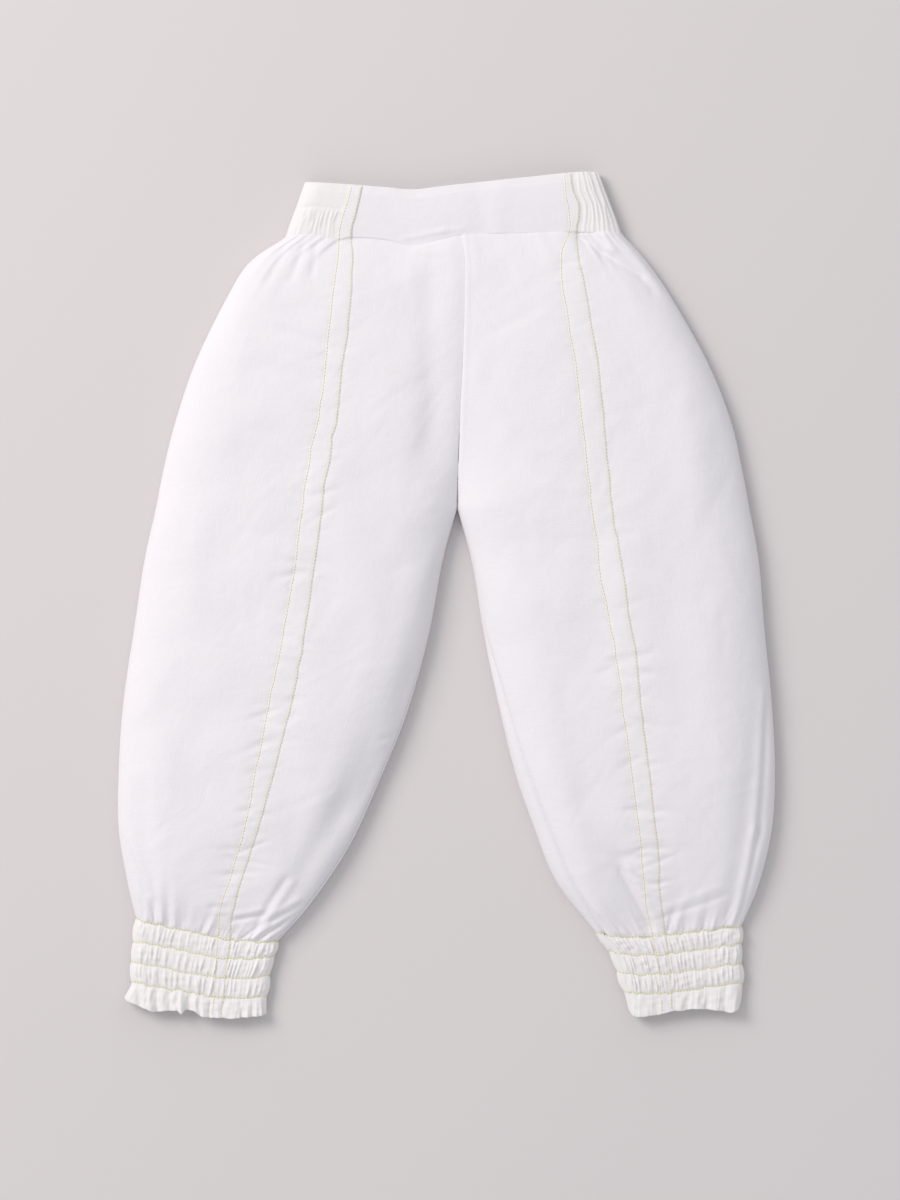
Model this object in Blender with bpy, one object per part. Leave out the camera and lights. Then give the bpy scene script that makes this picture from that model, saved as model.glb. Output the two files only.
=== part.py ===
"""Child's balloon-leg trousers, laid flat on their back, front up.

Metres, +Z up. The waist points to +Y and the front faces +Z. "right" and "left" are the
wearer's, so the right leg lies on the -X side. The tables are in millimetres.

Every section is a flattened tube that lies on the table. Its top line rises from the
outer edge over a rounded shoulder to the crown, and its under line is flat on the table
and rounds up to meet it. A piece of cloth is a stretch of those lines, carried from
section to section and given its wall.
"""
import math

import bmesh
import bpy
import numpy as np

MM = 0.001
GARMENT = "balloon_trousers"

# Walls of the cloth, and the gap that parts the pieces at their seams
LEG_WALL = 1.2
CUFF_WALL = 1.2
BAND_WALL = 2.0
STRIP_WALL = 1.0
SEAM_GAP = 0.3

# Height of the side edges above the table, and the width of the underside's rounded edge
EDGE_HEIGHT = 4.5
UNDER_ROUND = 7.0
# How much of the crown's height a fully domed section loses again towards both edges
DOME_SHARE = 0.16

# The waistband from its right end to its left end, along its top fold and its seam
BAND_COLUMNS = ("top_x", "top_y", "seam_x", "seam_y")
BAND = (
    (-85.0, 246.6, -96.5, 214.0),
    (-72.0, 245.8, -81.0, 216.0),
    (-57.0, 244.8, -65.0, 212.4),
    (-49.0, 244.2, -56.0, 213.8),
    (-35.0, 243.0, -37.0, 212.6),
    (-20.0, 241.8, -19.0, 208.6),
    (-4.0, 243.6, -4.0, 212.2),
    (8.0, 245.0, 9.3, 215.4),
    (50.0, 249.4, 50.0, 216.5),
    (75.0, 252.0, 78.0, 217.0),
    (91.0, 252.6, 105.0, 216.0),
)
CENTRE = 7

# Lines across the waistband, from the top fold down to the seam, with the height of the
# front there and the depth of the elastic's pleats on the right and on the left side
BAND_ROW_COLUMNS = ("down", "crown", "right_pleat", "left_pleat")
BAND_ROWS = (
    (0.00, 10.0, 0.1, 0.5),
    (0.15, 11.4, 0.1, 0.9),
    (0.50, 11.8, 0.4, 1.0),
    (0.80, 11.6, 1.0, 1.0),
    (1.00, 11.5, 0.5, 0.6),
)
BAND_SHOULDER = 12
# How far the line between the waistband's front and back has rolled onto the front
BAND_ROLL = 0.6

# One row for each section of a leg, from the waist seam down to the cuff. crown is the
# height of the front. valley is the share of it left at the inner edge, from 1 at the
# waist to 0 at the crotch. rise tells how far the underside's inner edge has lifted off
# the table. dome is 0 for a level front and 1 for a domed one. shoulder and hollow are
# the widths over which the front rounds off at its outer and inner edge. gather is the
# depth of the gathers, and steps the number of facets down to the next section.
FORM_COLUMNS = ("crown", "valley", "rise", "dome", "shoulder", "hollow", "gather", "steps")
FORM = (
    (11.5, 1.00, 0.0, 0.0, 12, 30, 0.5, 1),
    (15.5, 0.97, 0.0, 0.2, 22, 30, 0.4, 2),
    (19.0, 0.92, 0.0, 0.5, 30, 32, 0.1, 3),
    (21.5, 0.85, 0.0, 0.8, 34, 36, 0.0, 2),
    (22.5, 0.72, 0.0, 1.0, 36, 38, 0.0, 2),
    (23.0, 0.48, 0.3, 1.0, 37, 38, 0.0, 2),
    (23.5, 0.00, 1.0, 1.0, 38, 36, 0.0, 2),
    (24.0, 0.00, 1.0, 1.0, 38, 36, 0.0, 2),
    (24.5, 0.00, 1.0, 1.0, 38, 36, 0.0, 3),
    (24.5, 0.00, 1.0, 1.0, 38, 36, 0.0, 2),
    (24.0, 0.00, 1.0, 1.0, 36, 34, 0.1, 2),
    (22.0, 0.00, 1.0, 1.0, 32, 30, 0.3, 2),
    (17.5, 0.00, 1.0, 0.7, 24, 22, 0.7, 3),
    (9.5, 0.00, 1.0, 0.0, 9, 9, 0.9, 1),
)
CROTCH = 6

# The legs' outlines at those sections. The roll columns say how far the side seam and
# the inseam have rolled over the edge onto the front.
OUTLINE_COLUMNS = ("outer_x", "outer_y", "inner_x", "inner_y", "roll_out", "roll_in")
RIGHT_OUTLINE = (
    (-96.5, 214.0, 9.3, 215.4, 0.6, 0.0),
    (-118, 199, 11.0, 200, 0.7, 0.0),
    (-132, 177, 11.1, 178, 0.8, 0.0),
    (-150, 140, 9.9, 140, 0.8, 0.0),
    (-162, 105, 8.1, 105, 0.8, 0.0),
    (-169.5, 75, 7.0, 77, 0.8, 0.0),
    (-174, 52, 6.4, 52, 0.8, 0.0),
    (-181, 20, -2.4, 20, 0.8, 0.8),
    (-187, -20, -10.7, -24, 0.8, 0.8),
    (-193.5, -64, -23.5, -70, 0.9, 0.8),
    (-196.3, -105, -40.5, -112, 1.2, 0.9),
    (-196.3, -140, -58, -150, 2.2, 1.2),
    (-191, -172, -81.5, -185, 3.0, 1.5),
    (-185.7, -194.4, -101, -207, 1.5, 1.0),
)
LEFT_OUTLINE = (
    (105, 216, 9.3, 215.4, 0.6, 0.0),
    (119.5, 200, 11.0, 200, 0.7, 0.0),
    (135, 177.5, 11.1, 178, 0.8, 0.0),
    (156, 140, 9.9, 140, 0.8, 0.0),
    (170, 105, 8.1, 105, 0.8, 0.0),
    (177, 75, 7.0, 77, 0.8, 0.0),
    (181.3, 52, 6.4, 52, 0.8, 0.0),
    (187, 20, 15.1, 20, 0.8, 0.5),
    (190.3, -20, 21.8, -20, 0.8, 0.8),
    (194.7, -64, 30.8, -64, 0.9, 3.5),
    (196.7, -105, 40.7, -105, 1.0, 7.0),
    (194.8, -140, 52.7, -140, 1.2, 8.5),
    (187.3, -172, 66, -172, 1.5, 9.5),
    (176.5, -198.5, 89, -201.5, 1.0, 5.0),
)

# The cuffs, at their four shirred rows and the hem. sag is how far a row hangs below the
# straight line between its ends, pleat the depth of the pleats there, and roll_in how far
# the inseam has rolled onto the front.
CUFF_COLUMNS = ("outer_x", "outer_y", "inner_x", "inner_y", "sag", "crown", "pleat", "roll_in")
RIGHT_CUFF = (
    (-185.7, -194.4, -101, -207, 3.0, 9.5, 0.3, 1.0),
    (-187.5, -207, -103, -215.4, 4.5, 9.3, 0.3, 1.0),
    (-188.5, -219.6, -106, -227.4, 4.0, 9.1, 0.3, 1.0),
    (-188.5, -231.6, -107.5, -239.4, 3.5, 8.9, 0.3, 1.0),
    (-193.0, -241.2, -107.8, -250.6, 4.5, 9.2, 0.8, 1.0),
)
LEFT_CUFF = (
    (176.5, -198.5, 89, -201.5, 4.0, 9.5, 0.3, 5.0),
    (176.5, -209, 97, -213, 3.2, 9.3, 0.3, 5.0),
    (176.5, -220.5, 102, -225, 3.0, 9.1, 0.3, 4.5),
    (177.3, -232, 106, -237, 2.5, 8.9, 0.3, 3.5),
    (176.5, -244.5, 109.5, -251, 1.0, 9.0, 0.8, 1.5),
)
CUFF_SHOULDER = 9
# How far the side seam has rolled onto the front there
CUFF_ROLL = 1.0
# How far the cloth puffs out between two shirred rows, and how deep its pleats are there
CUFF_PUFF = 0.7
CUFF_PUFF_PLEAT = 0.6

# The applied strips: middle and width, from the waistband's top fold down to the hem
STRIP_COLUMNS = ("y", "x", "width")
RIGHT_STRIP = (
    (246, -53.5, 7.2),
    (217, -60.6, 7.8),
    (203, -60.4, 10.2),
    (178, -62.6, 12.0),
    (139, -66.8, 11.4),
    (107, -70.5, 11.6),
    (69, -77.6, 12.6),
    (15, -84.6, 12.6),
    (-28, -91.6, 13.4),
    (-65, -98.8, 13.8),
    (-100, -106.8, 12.4),
    (-128, -113.2, 10.4),
    (-150, -119.4, 8.6),
    (-185, -130.6, 8.4),
    (-204, -133.4, 8.0),
    (-253, -138.2, 6.6),
)
LEFT_STRIP = (
    (252, 72.0, 5.0),
    (218, 75.4, 5.4),
    (204, 73.6, 10.6),
    (190, 74.6, 13.6),
    (172, 77.6, 14.4),
    (139, 82.8, 14.2),
    (100, 87.4, 14.2),
    (52, 92.4, 13.2),
    (6, 99.2, 13.8),
    (-40, 107.0, 12.8),
    (-83, 112.0, 12.0),
    (-135, 118.6, 11.2),
    (-183, 123.4, 10.6),
    (-213, 129.2, 7.4),
    (-251, 132.2, 7.6),
)

# The largest folds on the fronts: furrows, or ridges where the height is positive
FOLD_COLUMNS = ("from_x", "from_y", "to_x", "to_y", "half_width", "height")
FOLDS = (
    (-28, -63, -61, -129, 9, -2.0),
    (-61, -129, -92, -176, 8, -2.2),
    (-112, 160, -76, 124, 16, -1.5),
    (-185, -120, -176, -182, 7, -1.8),
    (-150, 172, -160, 96, 12, 1.0),
    (-8, 186, -6, 96, 10, -1.2),
    (84, 212, 122, 186, 7, -2.2),
    (92, 218, 132, 196, 7, 1.4),
    (148, 156, 150, 68, 12, 1.5),
    (186, -86, 172, -186, 7, -2.2),
    (90, 24, 86, -36, 12, -1.0),
    (62, -110, 92, -182, 9, 1.2),
    (104, -160, 118, -194, 7, -1.6),
)

# Facets across the front outside and inside its strip, round each edge of the back, and
# across its flat middle; pleats take two or five finer facets for each of the front's
OUTER_FACETS = 9
INNER_FACETS = 7
BACK_EDGE_FACETS = 4
BACK_FLAT_FACETS = 3
BAND_FINER = 2
CUFF_FINER = 5
LINE_POINTS = 241


def column(table, columns, name):
    """One named column of a table, as an array."""
    return np.array([row[columns.index(name)] for row in table], float)


def curve_through(values, steps):
    """A smooth curve (Catmull-Rom) through the values, with so many steps in each span."""
    ends = np.concatenate(([2 * values[0] - values[1]], values, [2 * values[-1] - values[-2]]))
    spans = []
    for span, count in enumerate(steps):
        before, start, end, after = ends[span:span + 4]
        t = np.arange(count) / count
        slope = 0.5 * t * (end - before)
        square = t ** 2 * (before - 2.5 * start + 2 * end - 0.5 * after)
        cube = 0.5 * t ** 3 * (after - before + 3 * (start - end))
        spans.append(start + slope + square + cube)
    return np.concatenate(spans + [values[-1:]])


def shoulder(distance, width, sharpness):
    """From 0 at an edge to 1 at this width from it: a quarter round at sharpness 0.5."""
    left = 1 - np.clip(distance / width, 0.0, 1.0)
    return (1 - left ** 2) ** sharpness


def fold_height(x, y):
    """The folds' height at each point: a rounded ridge or furrow along each fold's line."""
    total = np.zeros_like(x)
    for from_x, from_y, to_x, to_y, half_width, height in FOLDS:
        run = math.hypot(to_x - from_x, to_y - from_y)
        dir_x, dir_y = (to_x - from_x) / run, (to_y - from_y) / run
        along = (x - from_x) * dir_x + (y - from_y) * dir_y
        across = (y - from_y) * dir_x - (x - from_x) * dir_y
        beyond = np.maximum(np.maximum(-along, along - run), 0.0)
        total += height * np.exp(-(across ** 2 + (0.6 * beyond) ** 2) / half_width ** 2)
    return total


class Line:
    """A line of points and their outward normals, read off by the length along it."""

    def __init__(self, points, across, height, direction, outward):
        self.points = points
        self.across = across
        steps = np.hypot(np.diff(across), np.diff(height))
        self.lengths = np.concatenate(([0.0], np.cumsum(steps)))
        self.length = self.lengths[-1]
        slope = np.stack((np.gradient(across), np.gradient(height)), axis=1)
        slope *= outward / np.linalg.norm(slope, axis=1)[:, None]
        sideways = -slope[:, 1]
        self.normals = np.stack((sideways * direction[0], sideways * direction[1], slope[:, 0]), axis=1)

    def read(self, lengths):
        """Points and outward normals at these lengths."""
        points, normals = (
            np.stack([np.interp(lengths, self.lengths, axis) for axis in values.T], axis=1)
            for values in (self.points, self.normals))
        return points, normals / np.linalg.norm(normals, axis=1)[:, None]


class Section:
    """One section: its top line and its under line, from the outer to the inner edge."""

    def __init__(self, outer, inner, bend, crown, wide, hollow=None, valley=0.0, rise=1.0,
                 dome=0.0, folded=False):
        run = math.hypot(inner[0] - outer[0], inner[1] - outer[1])
        self.outer = outer
        self.width = run
        self.direction = ((inner[0] - outer[0]) / run, (inner[1] - outer[1]) / run)
        across = 0.5 * run * (1 - np.cos(np.linspace(0, math.pi, LINE_POINTS)))
        share = across / run
        x = outer[0] + across * self.direction[0]
        y = outer[1] + across * self.direction[1] + bend(share)
        inner_lift = shoulder(run - across, hollow or wide, 0.5 + 0.5 * valley)
        lift = shoulder(across, wide, 0.5) * (valley + (1 - valley) * inner_lift)
        lift *= 1 - DOME_SHARE * dome * (2 * share - 1) ** 2
        top = EDGE_HEIGHT + (crown - EDGE_HEIGHT) * lift
        if folded:
            top += fold_height(x, y) * lift ** 2
        under = 1 - shoulder(across, UNDER_ROUND, 0.5)
        under += rise * (1 - shoulder(run - across, UNDER_ROUND, 0.5))
        under *= EDGE_HEIGHT
        self.top = Line(np.stack((x, y, top), axis=1), across, top, self.direction, 1.0)
        self.under = Line(np.stack((x, y, under), axis=1), across, under, self.direction, -1.0)
        self.joined_in = False
        self.roll_out = 0.0
        self.roll_in = 0.0
        self.puff = 0.0

    def at_across(self, across):
        """The length along the top line at this distance across."""
        return np.interp(across, self.top.across, self.top.lengths)

    def strip_lengths(self, strip):
        """Where the strip's outer edge, middle and inner edge cross the top line."""
        strip_x, strip_y, strip_width = (
            column(strip, STRIP_COLUMNS, name)[::-1] for name in ("x", "y", "width"))
        middle = self.width / 2
        for _ in range(4):
            y = self.outer[1] + middle * self.direction[1]
            middle = (np.interp(y, strip_y, strip_x) - self.outer[0]) / self.direction[0]
        half = np.interp(y, strip_y, strip_width) / 2
        return self.at_across(np.array([middle - half, middle, middle + half]))

    def front_lengths(self, strip):
        """Columns of the front: outer seam to strip, its middle, and strip to inner seam."""
        outer, middle, inner = self.strip_lengths(strip)
        first = self.at_across(self.roll_out) + SEAM_GAP / 2
        last = self.at_across(self.width - self.roll_in)
        if not self.joined_in:
            last -= SEAM_GAP / 2
        outside = np.linspace(first, outer, OUTER_FACETS + 1)
        inside = np.linspace(inner, last, INNER_FACETS + 1)
        return np.concatenate((outside, [middle], inside))

    def back_lengths(self):
        """Columns of the back, for read_round: seam, edge, flat middle, edge and seam."""
        first = -self.at_across(self.roll_out)
        last = self.under.length
        if not self.joined_in:
            first += SEAM_GAP / 2
            last += self.top.length - self.at_across(self.width - self.roll_in) - SEAM_GAP / 2
        edge = UNDER_ROUND * 1.4
        near = np.linspace(first, edge, BACK_EDGE_FACETS + 1)
        middle = np.linspace(edge, self.under.length - edge, BACK_FLAT_FACETS + 1)
        far = np.linspace(self.under.length - edge, last, BACK_EDGE_FACETS + 1)
        return np.concatenate((near, middle[1:-1], far))

    def read_round(self, lengths):
        """Points and normals on the way round under the garment.

        Lengths below 0 lie on the top line before the outer edge, and lengths past the
        under line lie on the top line again, beyond the inner edge.
        """
        under = self.under.read(lengths)
        before = self.top.read(-lengths)
        after = self.top.read(self.top.length + self.under.length - lengths)
        is_before = (lengths < 0)[:, None]
        is_after = (lengths > self.under.length)[:, None]
        return tuple(
            np.where(is_before, before[i], np.where(is_after, after[i], under[i])) for i in (0, 1))


def bend_off_chord(outer, inner, line_x, line_y, strength):
    """How far a line lies above the chord between its ends, by its share of the way."""
    share = (line_x - outer[0]) / (inner[0] - outer[0])
    order = np.argsort(share)
    above = line_y - (outer[1] + share * (inner[1] - outer[1]))
    return lambda at: strength * np.interp(at, share[order], above[order])


def sagging(depth):
    """A row that hangs lowest at two thirds of the way in from its outer end."""
    return lambda at: -6.75 * depth * at ** 2 * (1 - at)


def band_points(down, side):
    """The waistband's line at this share of the way down: its half, from end to centre."""
    x, y = (
        column(BAND, BAND_COLUMNS, "top_" + axis) * (1 - down)
        + column(BAND, BAND_COLUMNS, "seam_" + axis) * down
        for axis in ("x", "y"))
    if side == "right":
        return x[:CENTRE + 1], y[:CENTRE + 1]
    return x[CENTRE:][::-1], y[CENTRE:][::-1]


def band_sections(side):
    """The waistband's sections on one side, from the top fold to the seam."""
    sections = []
    for down, crown, right_pleat, left_pleat in BAND_ROWS:
        x, y = band_points(down, side)
        if down == 1.0:
            y = y + SEAM_GAP / 2
        outer, inner = (x[0], y[0]), (x[-1], y[-1])
        bend = bend_off_chord(outer, inner, x, y, 1.0)
        section = Section(outer, inner, bend, crown, BAND_SHOULDER, valley=1.0, rise=0.0)
        section.roll_out = BAND_ROLL
        section.joined_in = True
        section.pleat = right_pleat if side == "right" else left_pleat
        sections.append(section)
    return sections


def leg_sections(side, outline, cuff):
    """The sections of one leg, from the waist seam to the cuff's first row."""
    steps = column(FORM, FORM_COLUMNS, "steps").astype(int)[:-1]
    form = {
        name: curve_through(column(FORM, FORM_COLUMNS, name), steps)
        for name in FORM_COLUMNS[:-1]}
    edge = {
        name: curve_through(column(outline, OUTLINE_COLUMNS, name), steps)
        for name in OUTLINE_COLUMNS}
    for name in ("inner_x", "inner_y"):
        values = column(outline, OUTLINE_COLUMNS, name)
        hip = curve_through(values[:CROTCH + 1], steps[:CROTCH])
        inseam = curve_through(values[CROTCH:], steps[CROTCH:])
        edge[name] = np.concatenate((hip[:-1], inseam))
    seam_x, seam_y = band_points(1.0, side)
    waist_ends = (seam_x[0], seam_y[0]), (seam_x[-1], seam_y[-1])
    first_sag = column(cuff, CUFF_COLUMNS, "sag")[0]
    last = sum(steps)
    sections = []
    for i in range(last + 1):
        shift = {0: -SEAM_GAP / 2, last: SEAM_GAP / 2}.get(i, 0.0)
        outer = (edge["outer_x"][i], edge["outer_y"][i] + shift)
        inner = (edge["inner_x"][i], edge["inner_y"][i] + shift)
        if i < last / 2:
            bend = bend_off_chord(*waist_ends, seam_x, seam_y, max(0.0, 1 - i / 4) ** 2)
        else:
            bend = sagging(first_sag * max(0.0, 1 - (last - i) / 4))
        section = Section(
            outer, inner, bend, form["crown"][i], form["shoulder"][i], form["hollow"][i],
            valley=np.clip(form["valley"][i], 0, 1), rise=np.clip(form["rise"][i], 0, 1),
            dome=form["dome"][i], folded=0 < i < last)
        section.roll_out = edge["roll_out"][i]
        section.roll_in = max(0.0, edge["roll_in"][i])
        section.gather = max(0.0, form["gather"][i])
        sections.append(section)
    return sections


def cuff_sections(cuff):
    """The sections of one cuff: its shirred rows, its hem and one puffed row between."""
    steps = [2] * (len(cuff) - 1)
    rows = {name: curve_through(column(cuff, CUFF_COLUMNS, name), steps) for name in CUFF_COLUMNS}
    sections = []
    for i in range(sum(steps) + 1):
        shift = -SEAM_GAP / 2 if i == 0 else 0.0
        outer = (rows["outer_x"][i], rows["outer_y"][i] + shift)
        inner = (rows["inner_x"][i], rows["inner_y"][i] + shift)
        section = Section(outer, inner, sagging(rows["sag"][i]), rows["crown"][i], CUFF_SHOULDER)
        puffed = i % 2 == 1
        section.roll_out = CUFF_ROLL
        section.roll_in = rows["roll_in"][i]
        section.pleat = CUFF_PUFF_PLEAT if puffed else rows["pleat"][i]
        section.puff = CUFF_PUFF if puffed else section.pleat
        sections.append(section)
    return sections


def finer(lengths, times):
    """The same columns with each space between them cut into so many."""
    starts = lengths[:-1, None] + np.diff(lengths)[:, None] * np.arange(times) / times
    return np.concatenate((starts.ravel(), lengths[-1:]))


def zigzag(count):
    """Up and down by turns from column to column, fading out at both ends."""
    signs = np.where(np.arange(count) % 2 == 0, -1.0, 1.0)
    signs[0] = signs[-1] = 0.0
    return signs


def front_leg(sections, strip):
    """The front panel's outer and inner points, gathered at the waist and at the cuff."""
    outside = zigzag(OUTER_FACETS + 1)
    inside = zigzag(INNER_FACETS + 1)
    waves = np.concatenate((outside, [0.0], inside))
    rows = []
    for section in sections:
        points, normals = section.top.read(section.front_lengths(strip))
        outer = points + normals * (section.gather * waves)[:, None]
        rows.append((outer, outer - normals * LEG_WALL))
    return rows


def back_panel(sections, wall):
    """A back panel's outer and inner points: flat on the table, its edges turned up."""
    rows = []
    for section in sections:
        points, normals = section.read_round(section.back_lengths())
        rows.append((points, points - normals * wall))
    return rows


def cuff_front(sections, strip):
    """The cuff's shirred front: pleats and puffs raised over a plain inside."""
    rows = []
    for section in sections:
        lengths = section.front_lengths(strip)
        outside = finer(lengths[:OUTER_FACETS + 1], CUFF_FINER)
        inside = finer(lengths[OUTER_FACETS + 2:], CUFF_FINER)
        waves = np.concatenate((zigzag(len(outside)), [0.0], zigzag(len(inside))))
        middle = [lengths[OUTER_FACETS + 1]]
        points, normals = section.top.read(np.concatenate((outside, middle, inside)))
        raised = np.ones(len(waves))
        raised[0] = raised[-1] = 0.0
        height = section.puff * raised + section.pleat * waves
        rows.append((points + normals * height[:, None], points - normals * CUFF_WALL))
    return rows


def band_front_half(sections, strip):
    """Half of the flat front waistband, from the strip's middle to the centre."""
    rows = []
    for section in sections:
        lengths = section.front_lengths(strip)[OUTER_FACETS + 1:]
        lengths[0] += SEAM_GAP / 2
        points, normals = section.top.read(lengths)
        rows.append((points, points - normals * BAND_WALL))
    return rows


def band_elastic_half(sections, strip):
    """Half of the elasticated waistband, from the strip round the side to the back."""
    rows = []
    for section in sections:
        lengths = section.front_lengths(strip)
        side = finer(lengths[:OUTER_FACETS + 1], BAND_FINER)[::-1]
        start = lengths[OUTER_FACETS + 1] - SEAM_GAP / 2
        under = section.back_lengths()
        waves = np.concatenate(([0.0], zigzag(len(side)), np.zeros(len(under) - 1)))
        points, normals = section.read_round(np.concatenate(([-start], -side, under[1:])))
        height = section.pleat * waves
        rows.append((points + normals * height[:, None], points - normals * BAND_WALL))
    return rows


def join_halves(right, left):
    """One row of points across both halves, which share their middle point."""
    return [
        tuple(np.concatenate((r[:-1], l[::-1])) for r, l in zip(right_row, left_row))
        for right_row, left_row in zip(right, left)]


def strip_rows(sections, strip):
    """The strip's upper and lower points: the panels' points under it, moved out."""
    rows = []
    for section in sections:
        points, normals = section.top.read(section.strip_lengths(strip))
        lower = points + normals * (section.puff + SEAM_GAP)
        rows.append((lower + normals * STRIP_WALL, lower))
    return rows


def wall_mesh(name, rows):
    """A closed wall: its outer face, its inner face and the rim that joins them."""
    outer = np.array([row[0] for row in rows])
    inner = np.array([row[1] for row in rows])
    lines, points = outer.shape[:2]
    index = np.arange(lines * points).reshape(lines, points)
    a, b, c, d = (part.ravel() for part in (index[:-1, :-1], index[:-1, 1:], index[1:, 1:], index[1:, :-1]))
    face = np.concatenate((np.stack((a, b, c), axis=1), np.stack((a, c, d), axis=1)))
    below = lines * points
    rim = np.concatenate((index[0, :-1], index[:-1, -1], index[-1, :0:-1], index[:0:-1, 0]))
    after = np.roll(rim, -1)
    rim_faces = np.concatenate((
        np.stack((after, rim, rim + below), axis=1), np.stack((after, rim + below, after + below), axis=1)))
    faces = np.concatenate((face, face[:, ::-1] + below, rim_faces))
    corners = np.concatenate((outer.reshape(-1, 3), inner.reshape(-1, 3))) * MM
    mesh = bpy.data.meshes.new(name)
    mesh.from_pydata(corners.tolist(), [], faces.tolist())
    body = bmesh.new()
    body.from_mesh(mesh)
    bmesh.ops.recalc_face_normals(body, faces=body.faces)
    body.to_mesh(mesh)
    body.free()
    return mesh


def cloth(name, rows, material, collection):
    """One sewn piece as an object."""
    piece = bpy.data.objects.new(name, wall_mesh(name, rows))
    piece.data.materials.append(material)
    collection.objects.link(piece)
    return piece


def fabric(name, colour, roughness):
    """A matt woven cotton."""
    material = bpy.data.materials.new(name)
    material.use_nodes = True
    shader = material.node_tree.nodes["Principled BSDF"]
    shader.inputs["Base Color"].default_value = (*colour, 1.0)
    shader.inputs["Roughness"].default_value = roughness
    shader.inputs["Metallic"].default_value = 0.0
    return material


def white_cotton():
    return fabric("white_cotton", (0.86, 0.85, 0.87), 0.9)


def shirred_cotton():
    return fabric("shirred_cotton", (0.84, 0.83, 0.85), 0.92)


def strip_cotton():
    return fabric("strip_cotton", (0.88, 0.87, 0.86), 0.88)


def main():
    for old in list(bpy.data.objects):
        bpy.data.objects.remove(old)
    collection = bpy.data.collections.new(GARMENT)
    bpy.context.scene.collection.children.link(collection)
    plain, shirred, applied = white_cotton(), shirred_cotton(), strip_cotton()
    band_fronts = []
    band_sides = []
    sides = (
        ("right", RIGHT_OUTLINE, RIGHT_CUFF, RIGHT_STRIP),
        ("left", LEFT_OUTLINE, LEFT_CUFF, LEFT_STRIP))
    for side, outline, cuff, strip in sides:
        band = band_sections(side)
        leg = leg_sections(side, outline, cuff)
        ankle = cuff_sections(cuff)
        cloth("front_leg_" + side, front_leg(leg, strip), plain, collection)
        cloth("back_leg_" + side, back_panel(leg, LEG_WALL), plain, collection)
        cloth("cuff_front_" + side, cuff_front(ankle, strip), shirred, collection)
        cloth("cuff_back_" + side, back_panel(ankle, CUFF_WALL), shirred, collection)
        cloth("strip_" + side, strip_rows(band + leg[1:] + ankle[1:], strip), applied, collection)
        band_fronts.append(band_front_half(band, strip))
        band_sides.append(band_elastic_half(band, strip))
    cloth("waistband_front", join_halves(*band_fronts), plain, collection)
    cloth("waistband_elastic", join_halves(*band_sides), shirred, collection)


main()
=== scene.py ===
# %% [markdown]
# # A child's balloon-leg trousers, laid flat
# The garment is white woven cotton: two front panels and two back panels, gathered into a
# waistband with elastic at its sides and into shirred ankle cuffs, with a strip sewn down
# each front by two lines of lemon thread. The model that is loaded holds the form as rigid
# walls. Here every wall becomes a thin cloth on that form, with its creases, pleats and
# stitches, and the thread, the floor, the light and the camera are added.

# %% Load the rigid model
import math

import bpy
import numpy as np
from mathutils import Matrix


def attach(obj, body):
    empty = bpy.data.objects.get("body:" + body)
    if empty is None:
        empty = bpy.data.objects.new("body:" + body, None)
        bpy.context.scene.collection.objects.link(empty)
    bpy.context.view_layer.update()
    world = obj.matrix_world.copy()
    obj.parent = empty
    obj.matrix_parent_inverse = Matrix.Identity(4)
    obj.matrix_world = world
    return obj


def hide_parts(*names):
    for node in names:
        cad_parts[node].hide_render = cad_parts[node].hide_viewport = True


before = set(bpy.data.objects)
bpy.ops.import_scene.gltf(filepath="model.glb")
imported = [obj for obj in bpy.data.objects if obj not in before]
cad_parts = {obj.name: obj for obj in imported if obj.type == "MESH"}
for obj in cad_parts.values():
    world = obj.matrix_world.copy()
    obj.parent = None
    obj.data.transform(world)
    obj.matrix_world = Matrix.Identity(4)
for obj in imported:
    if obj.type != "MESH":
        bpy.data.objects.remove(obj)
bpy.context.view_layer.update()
MM = 0.001

# %% [markdown]
# ## Tables and curves
# A pattern cutter writes sizes in tables, and so does this lesson: a table has one row for
# each place on the garment and named columns, in millimetres. A smooth curve through a
# column gives the sizes between the rows. It has to pass through every measured value, so
# it isn't drawn with control points, which a curve may only come near.


# %% Tables with named columns, and curves through them
def table(columns, *rows):
    """One array for each named column."""
    return dict(zip(columns.split(), np.array(rows, float).T))


def curve_at(values, at):
    """A smooth curve through the values, read at row numbers that may be fractions.

    Between two rows it is the cubic that passes through both, each with the slope of the
    line between its own two neighbours. The end rows get a neighbour on a straight line.
    """
    ends = np.concatenate(([2 * values[0] - values[1]], values, [2 * values[-1] - values[-2]]))
    span = np.clip(np.floor(at).astype(int), 0, len(values) - 2)
    t = at - span
    before, start, end, after = (ends[span + k] for k in range(4))
    slope = 0.5 * t * (end - before)
    square = t ** 2 * (before - 2.5 * start + 2 * end - 0.5 * after)
    cube = 0.5 * t ** 3 * (after - before + 3 * (start - end))
    return start + slope + square + cube


def smooth_step(value):
    """From 0 to 1 as the value goes from 0 to 1, level at both ends: 3 v^2 - 2 v^3."""
    v = np.clip(value, 0.0, 1.0)
    return v * v * (3 - 2 * v)


print("curve through 0, 1, 4 read at 1.5:", curve_at(np.array([0.0, 1.0, 4.0]), np.array([1.5])))

# %% Right and left, and chance
SIDES = ("right", "left")


def chance(side, seed):
    """Random numbers: the right side draws from this seed, and the left from the next."""
    return np.random.default_rng(seed + SIDES.index(side))


def random_line(at, seed, count, spaces, start, spread):
    """Straight lines between knots of random height, whose spaces are random too."""
    rng = np.random.default_rng(seed)
    knots = np.cumsum(rng.uniform(*spaces, count)) + start
    return np.interp(at, knots, rng.normal(0, spread, count))


print("sides:", SIDES)

# %% [markdown]
# ## The sizes of the garment
# These are the same sizes that the rigid model was cut from. The waist points to +Y, the
# front faces up, and right and left are the wearer's.

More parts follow.
